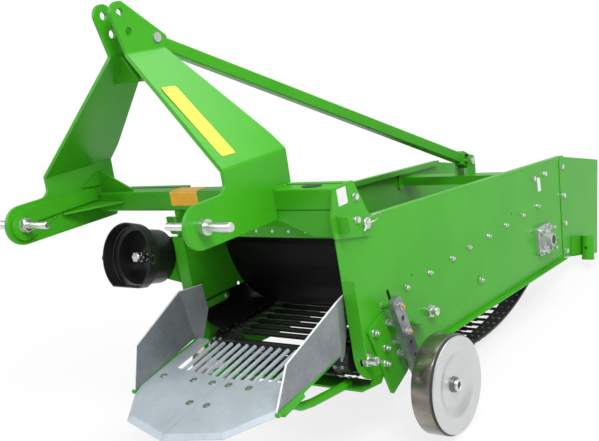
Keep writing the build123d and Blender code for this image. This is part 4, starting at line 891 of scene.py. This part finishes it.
carrier_r = below_web(*CARRIER)
roller_steps = [(-0.322, AXLE_RADIUS)]
for low, high in ((-BELT_OUT, -BELT_IN), (BELT_IN, BELT_OUT)):
    roller_steps += [(low, AXLE_RADIUS), (low, carrier_r - 0.0015), (low + 0.0015, carrier_r)]
    roller_steps += [(high - 0.0015, carrier_r), (high, carrier_r - 0.0015), (high, AXLE_RADIUS)]
roller_steps.append((0.322, AXLE_RADIUS))
AGITATOR_HALF = 0.2965
agitator_steps = ((-AGITATOR_HALF, AXLE_RADIUS), (AGITATOR_HALF, AXLE_RADIUS))
rollers = [skinned(bar_loops(CARRIER, roller_steps)), skinned(bar_loops(AGITATOR, agitator_steps))]
oval_tall, oval_wide = below_web(*AGITATOR), 0.044
along_way, out_way = heading(upper), heading(upper + pi / 2)
for x in (0.235, -0.235):
    ovals = []
    for reach, shrink in ((-0.015, 0.93), (-0.0135, 1), (0.0135, 1), (0.015, 0.93)):
        loop = []
        for a in around(48):
            spot = Vector(AGITATOR) + along_way * oval_tall * shrink * cos(a)
            spot += out_way * oval_wide * shrink * sin(a)
            loop.append((x + reach, spot.x, spot.y))
        ovals.append(loop)
    rollers.append(skinned(ovals))
roller_set = moved(joined(*rollers), LEVEL)
piece(roller_set, "roller_set", WEB)
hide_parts("web_rollers")
covers = []
for hand, way in SIDES:
    cover = turned([(0.0150, 0), (0.0158, 0.0006), (0.0158, 0.0014), (0.0150, COVER_SHEET)], 32)
    covers.append(moved(cover, standing((hand * (WALL_OUT + 0.0001), *AGITATOR), way, LEVEL)))
piece(joined(*covers), "axle_covers", GREEN)

# ---- rubber sheets
CURTAIN = (
    (0.104, 0.614), (0.104, 0.588), (0.204, 0.569),
    (0.246, 0.492), (0.300, 0.423), (0.360, 0.3636),
)
CURTAIN_SHEET, CURTAIN_HALF = 0.005, 0.291
CURTAIN_TAPER = (
    (0.292, 0.0), (0.298, 0.007), (0.316, 0.012), (0.335, 0.026),
    (0.347, 0.043), (0.356, 0.068), (0.362, 0.087),
)
DROP_STEPS = 70
drop = evened(filleted(CURTAIN, (0.008, 0.030, 0.090, 0.090)), DROP_STEPS)


def taper(y):
    """How much narrower than its full half width the curtain is at y."""
    for (near_y, near), (far_y, far) in zip(CURTAIN_TAPER, CURTAIN_TAPER[1:]):
        if near_y <= y <= far_y:
            return near + (far - near) * (y - near_y) / (far_y - near_y)
    return 0.0


drop_length = run_lengths(drop)[-1]
curtain_rows = []
curtain_cut = 0.0
for k, (at, normal) in enumerate(zip(drop, normals(drop))):
    half = CURTAIN_HALF - taper(at.x)
    curtain_cut += 2 * half * drop_length / (DROP_STEPS + 1)
    share = k / DROP_STEPS
    row = []
    for i in range(41):
        x = half * (i / 20 - 1)
        wave = 0.0016 * share**2 * (sin(x * 19.0 + 0.6) + 0.5 * sin(x * 43.0 + 2.0 * share))
        place = at + normal * (CURTAIN_SHEET / 2 + wave)
        row.append((x, place.x, place.y))
    curtain_rows.append(row)
curtain = moved(cloth(curtain_rows, CURTAIN_SHEET - 0.0004, "curtain_sheet"), LEVEL)
piece(curtain, "curtain_sheet", CURTAIN_RUBBER, smooth=50)
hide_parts("front_curtain")

SKIRT_SHEET, SKIRT_IN_X, WALL_IN = 0.004, 0.212, WALL_OUT - WALL_SHEET
SKIRT_LONG, SKIRT_RISE, SKIRT_STEPS = 1.180, 0.315, 26


def web_top(y):
    """Height of the rods' tops on the upper run at y."""
    way = heading(upper)
    return (way.dot(idler) + IDLER_TURN - way.x * y + ROD_RADIUS) / way.y


skirt_ends = []
for y, clamp in (SKIRT_FRONT, SKIRT_REAR):
    low = web_top(y) + 0.003
    fall = (clamp - low) * 0.62
    held = ((WALL_IN, clamp + 0.014), (WALL_IN, clamp))
    hang = (*held, (WALL_IN - fall / 6, clamp - fall), (SKIRT_IN_X, low + 0.003))
    section = evened(filleted(hang, (0.008, fall / 2)), SKIRT_STEPS)
    skirt_ends.append([at - way * SKIRT_SHEET / 2 for at, way in zip(section, normals(section))])
skirt_widths = [run_lengths(end)[-1] for end in skirt_ends]
for hand, name in ((1, "skirt_sheet_left"), (-1, "skirt_sheet_right")):
    rows = []
    for k in range(-3, 101):
        part = k / 100
        y = SKIRT_FRONT[0] + SKIRT_LONG * part
        dip = max(0.0, (0.190 - y) / 0.075)
        swell = 0.5 - 0.5 * cos(2 * pi * (part * SKIRT_LONG - 0.06) / 0.138)
        row = []
        for i in range(SKIRT_STEPS + 1):
            at = skirt_ends[0][i].lerp(skirt_ends[1][i], part)
            lift = 0.0035 * (i / SKIRT_STEPS) ** 2 * (swell + 0.4 * sin(23.0 * y + 1.3 * hand))
            row.append((hand * at.x, y, at.y + max(lift, 0) - 0.010 * (dip * i / SKIRT_STEPS) ** 2))
        rows.append(row)
    skirt = moved(cloth(rows, SKIRT_SHEET - 0.0004, name), LEVEL)
    piece(skirt, name, CURTAIN_RUBBER, smooth=50)
    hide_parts("side_skirts")

# ---- power take-off stub
# Six splines with a locking groove, a plain neck and the bearing journal.
SPLINE_TIP, SPLINE_ROOT, SPLINE_HALF = 0.01735, 0.01460, 0.00435
spline = []
for k in range(6):
    tips = [(SPLINE_TIP, lean) for lean in (-1, 0, 1)]
    for radius, lean in ((SPLINE_ROOT, -1), *tips, (SPLINE_ROOT, 1)):
        angle = radians(60 * k) + lean * asin(SPLINE_HALF / radius)
        spline.append((radius * cos(angle), radius * sin(angle)))
    middle = radians(60 * k + 30)
    spline.append((SPLINE_ROOT * cos(middle), SPLINE_ROOT * sin(middle)))
neck = [(SPLINE_ROOT * x / hypot(x, z), SPLINE_ROOT * z / hypot(x, z)) for x, z in spline]


def stub_loop(outline, y, scale=1.0):
    return [(PTO_X + x * scale, y, PTO_Z + z * scale) for x, z in outline]


STUB_RUNS = (
    (neck, (-0.0185, 0.02), (-0.0215, 0.20)),
    (spline, (-0.0220, 0.90), (-0.0200, 1.0), (-0.0090, 1.0), (-0.0080, 0.96)),
    (neck, (-0.0075, 0.99), (-0.0020, 0.99)),
    (spline, (-0.0015, 0.96), (-0.0005, 1.0), (0.0180, 1.0)),
    (neck, (0.0185, 1.18), (0.0300, 1.18), (0.0305, 1.36), (0.1045, 1.36)),
)
stub_loops = [stub_loop(outline, y, scale) for outline, *places in STUB_RUNS for y, scale in places]
splined = moved(skinned(stub_loops), LEVEL)
piece(splined, "splined_stub", ZINC, body="pto_input", smooth=30)
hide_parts("pto_stub")

# Black cover inside the guard's neck, round the shaft.
COVER_PROFILE = (
    (0.0292, 0.0215), (0.0292, 0.0860), (0.0275, 0.0860),
    (0.0262, 0.0600), (0.0200, 0.0300), (0.0190, 0.0215),
)
along_shaft = Matrix.Translation((PTO_X, 0, PTO_Z)) @ Matrix.Rotation(pi / 2, 4, "Z")
neck_cover = moved(spun(COVER_PROFILE, (0, 0), sides=48), LEVEL @ along_shaft)
piece(neck_cover, "neck_cover", PLASTIC)

# Rolled rim of the guard, with an ear on each side.
RIM_Y, RIM_RADIUS, RIM_DROP = -0.060, 0.110, 0.093
dip = asin(RIM_DROP / RIM_RADIUS)


def guard_ring(radius, y, angles):
    """Points round the guard's axis."""
    return [(PTO_X + radius * cos(a), y, PTO_Z + radius * sin(a)) for a in angles]


rim_line = guard_ring(RIM_RADIUS, RIM_Y, sweep(-dip, pi + 2 * dip, 72))
rim = pipe(rim_line, 0.0024, 8, "rim", cyclic=True)
ridge = pipe(guard_ring(0.103, -0.024, sweep(-0.95, pi + 1.9, 72)), 0.0026, 8, "ridge")
ear_outline = [(-0.004, -0.012), (0.010, -0.009), (0.014, 0), (0.010, 0.009), (-0.004, 0.012)]
ear = bevelled(plate(ear_outline, 0.005), 0.0012, 2)
ear_place = Matrix.Translation((PTO_X - 0.112, RIM_Y + 0.006, PTO_Z - 0.004))
ear_right = copied(ear, ear_place @ Matrix.Rotation(pi, 4, "Z") @ Matrix.Rotation(pi / 2, 4, "X"))
loop_x, loop_y, loop_z = PTO_X + 0.118, RIM_Y + 0.004, PTO_Z - 0.002
loop_line = [(loop_x + 0.009 * cos(a), loop_y, loop_z + 0.013 * sin(a)) for a in around(24)]
ear_left = pipe(loop_line, 0.0026, 8, "loop", cyclic=True)
guard_trim = joined(rim, ridge, ear_right, ear_left)
discard(ear)
piece(moved(guard_trim, LEVEL), "guard_trim", PLASTIC)

# ---- linch pin
plate_face = WALL_OUT + END_SHEET
head_rings = (
    (0.0168, 0), (0.0176, 0.0008), (0.0176, 0.0040), (0.0160, 0.0056),
    (0.0120, 0.0060), (0.0100, 0.0046), (0.0052, 0.0050), (0.0040, 0.0078),
)
pin_place = standing((plate_face, 0.1531, 0.6278), LEFT, Matrix.Identity(4))
pin_head = moved(turned(head_rings, 36), pin_place)
ring_middle = Vector((0.3245, 0.1605, 0.6435))
ring_run, ring_rise = REARWARD * 0.0235, Vector((0.0170, 0, 0.0145))
ring_line = [ring_middle + ring_run * cos(a) + ring_rise * sin(a) for a in around(40)]
ring = pipe(ring_line, 0.0015, 8, "ring", cyclic=True)
tail_line = ((0.3120, 0.1400, 0.6200), (0.3150, 0.1330, 0.6125), (0.3155, 0.1260, 0.6050))
tail = pipe(tail_line, 0.0034, 12, "tail")
piece(moved(joined(pin_head, ring, tail), LEVEL), "linch_pin", ZINC)

# Large nuts and washers that hold the lower pins inside the hitch plates.
PIN_NUT_X = 0.064
pin_nuts = []
for hand, way, nut_x in ((1, RIGHT, PIN_NUT_X), (-1, LEFT, 2 * HITCH_X - PIN_NUT_X)):
    nut = joined(washer(0.0235, 0.0030), hexagon(0.0400, 0.0030, 0.0195))
    pin_nuts.append(moved(nut, standing((nut_x, -0.3105, 0.0404), way, HEAD, 0.35 * hand)))
piece(joined(*pin_nuts), "pin_nuts", ZINC)

# ---- weld beads
INNER, OUTER = 0.071, 0.085
SEAMS = (
    ((0.072, -0.001, 0.004), (0.072, -0.001, 0.060)),
    ((0.072, 0.002, 0.0645), (0.072, 0.058, 0.0645)),
    ((0.072, 0.022, 0.064), (0.072, 0.022, 0.130)),
    ((0.072 - 0.148, 0.0225, 0.0645), (0.072 - 0.004, 0.0225, 0.0645)),
    ((0.072 - 0.126, -0.0015, 0.0385), (0.072 - 0.004, -0.0015, 0.0385)),
    ((INNER, -0.158, 0.0385), (INNER, -0.004, 0.0385)),
    ((INNER, -0.290, 0.0882), (INNER, -0.030, 0.0878)),
    ((INNER, -0.290, -0.0070), (INNER, -0.166, 0.0420)),
    ((OUTER, 0.002, 0.0645), (OUTER, 0.058, 0.0645)),
)
beads = []
for mirrored in (False, True):
    for seam in SEAMS:
        beads.append(bead(*((2 * HITCH_X - x if mirrored else x, y, z) for x, y, z in seam)))
beads.append(bead((0.088, 0.0605, 0.0632), (0.292, 0.0605, 0.0632), 0.0022))
beads.append(bead((-0.608, 0.0605, 0.0632), (-0.324, 0.0605, 0.0632), 0.0022))
piece(moved(joined(*beads), HEAD), "weld_beads", GREEN, smooth=60)

# ---- blank labels
face = plate_face + 0.0001
bracket_spots = ((0.004, 0.010), (0.048, 0.010), (0.048, 0.058), (0.004, 0.058))
bracket_film = [(face, y, z) for y, z in bracket_spots]
wall_spots = ((1.3343, 0.7397), (1.3612, 0.7443), (1.3487, 0.7955), (1.3220, 0.7905))
wall_film = [(WALL_OUT, y, z) for y, z in wall_spots]
beam_spots = ((-0.303, -0.034), (-0.341, -0.034), (-0.341, -0.021), (-0.303, -0.021))
beam_film = [(x, -0.0001, z) for x, z in beam_spots]
white = [(bracket_film, HEAD), (wall_film, LEVEL), (beam_film, HEAD)]
white_films = [moved(film(corners), place) for corners, place in white]
piece(joined(*white_films), "white_labels", WHITE, smooth=0)
yellow_low = ((0.053, -0.181, 0.811), (0.056, -0.127, 0.824))
yellow_high = ((-0.147, -0.160, 1.023), (-0.151, -0.216, 1.012))
yellow_film = film((*yellow_low, *yellow_high), 0.0012)
piece(moved(yellow_film, LEVEL), "yellow_label", YELLOW, smooth=0)
orange_fold = ((-0.0004, 0.057), (0.0014, 0.0616), (0.0060, 0.0634))
orange_line = ((-0.0004, 0.018), *orange_fold, (0.0540, 0.0634))
orange_loops = [[(-0.220, u, w), (-0.337, u, w)] for u, w in orange_line]
orange_mesh = cloth(orange_loops, 0.0006, "orange_label")
piece(moved(orange_mesh, HEAD), "orange_label", ORANGE, smooth=0)
# Thin black oval plate on the beam.
oval_outline = [(0.2005 + 0.034 * cos(a), 0.0335 + 0.0195 * sin(a)) for a in around(36)]
oval = moved(bevelled(plate(oval_outline, 0.0016), 0.0006, 2), Matrix.Translation((0, 0, 0.063)))
piece(moved(oval, HEAD), "beam_black_oval", BLACK)

# ---- stage, light and camera
def backdrop_finish():
    """Pale floor that turns white to the camera and in reflections, and keeps the shadow."""
    shop = Shop("pale_floor")
    rays = shop.node("ShaderNodeLightPath")
    camera, glossy, through = (
        Value(shop, rays.outputs[f"Is {kind} Ray"]) for kind in ("Camera", "Glossy", "Transmission")
    )
    seen = camera.maths("MAXIMUM", glossy).maths("MAXIMUM", through)
    matt = shop.node("ShaderNodeBsdfDiffuse", {}, {"Color": (0.80, 0.80, 0.80, 1)})
    white = shop.node("ShaderNodeEmission", {}, {"Color": (1, 1, 1, 1), "Strength": 1.0})
    far = (shop.at(0) * shop.at(0) + shop.at(1) * shop.at(1)) ** 0.5
    share = seen * (far.ramp(1.3, 2.6) * 0.20 + 0.80)
    both = shop.node("ShaderNodeMixShader", {}, {0: share, 1: matt.outputs[0], 2: white.outputs[0]})
    shop.tree.links.new(both.outputs[0], shop.output.inputs[0])
    return shop.material


bpy.ops.object.select_all(action="DESELECT")
bpy.ops.mesh.primitive_plane_add(size=40)
floor = bpy.context.object
floor.name = "floor"
floor.data.materials.append(backdrop_finish())

world = bpy.data.worlds.new("studio")
bpy.context.scene.world = world
world.use_nodes = True
sky = world.node_tree
rays = sky.nodes.new("ShaderNodeLightPath")
ground, bright = sky.nodes["Background"], sky.nodes.new("ShaderNodeBackground")
for shade, strength in ((ground, 0.50), (bright, 1.0)):
    shade.inputs["Color"].default_value = (1, 1, 1, 1)
    shade.inputs["Strength"].default_value = strength
choose = sky.nodes.new("ShaderNodeMixShader")
to_camera = rays.outputs["Is Camera Ray"]
for index, socket in enumerate((to_camera, ground.outputs[0], bright.outputs[0])):
    sky.links.new(socket, choose.inputs[index])
sky.links.new(choose.outputs[0], sky.nodes["World Output"].inputs[0])


def softbox(name, at, towards, size, watts):
    """Square area lamp in the level frame."""
    lamp = bpy.data.lights.new(name, "AREA")
    lamp.shape, lamp.size, lamp.energy = "SQUARE", size, watts
    holder = bpy.data.objects.new(name, lamp)
    bpy.context.collection.objects.link(holder)
    start, end = LEVEL @ Vector(at), LEVEL @ Vector(towards)
    aim = (end - start).to_track_quat("-Z", "Y").to_matrix().to_4x4()
    holder.matrix_world = Matrix.Translation(start) @ aim


softbox("key", (3.4, -2.6, 4.2), (0, 0.4, 0.5), 2.2, 240)
softbox("fill", (-3.6, -3.0, 2.4), (0, 0.4, 0.5), 3.0, 70)
softbox("top", (0.4, 0.8, 5.2), (0, 0.6, 0.5), 3.5, 120)

# The camera looks from the front left, almost level with the machine.
VIEW_TURN, VIEW_DROP, VIEW_ROLL = 0.6641318, 0.0064012, 0.0004188
VIEW_FROM = (1.8432845, -2.1223447, 0.6529004)
LENS_RATIO = 960.0 / 599
ahead = Vector((-sin(VIEW_TURN) * cos(VIEW_DROP), cos(VIEW_TURN) * cos(VIEW_DROP), -sin(VIEW_DROP)))
across = Vector((cos(VIEW_TURN), sin(VIEW_TURN), 0))
above = across.cross(ahead)
across, above = (
    across * cos(VIEW_ROLL) + above * sin(VIEW_ROLL),
    above * cos(VIEW_ROLL) - across * sin(VIEW_ROLL),
)
lens = bpy.data.cameras.new("camera")
lens.sensor_fit, lens.sensor_width = "HORIZONTAL", 36
lens.lens = LENS_RATIO * lens.sensor_width
camera = bpy.data.objects.new("camera", lens)
bpy.context.collection.objects.link(camera)
stand = Matrix((across, above, -ahead)).transposed().to_4x4()
camera.matrix_world = LEVEL @ Matrix.Translation(VIEW_FROM) @ stand
bpy.context.scene.camera = camera
bpy.context.scene.view_settings.view_transform = "Standard"

discard(small_nut, middle_nut, middle_bolt, dome)
discard(plain_nut, bronze_end, long_nut, countersunk, small_dome, tiny_dome)
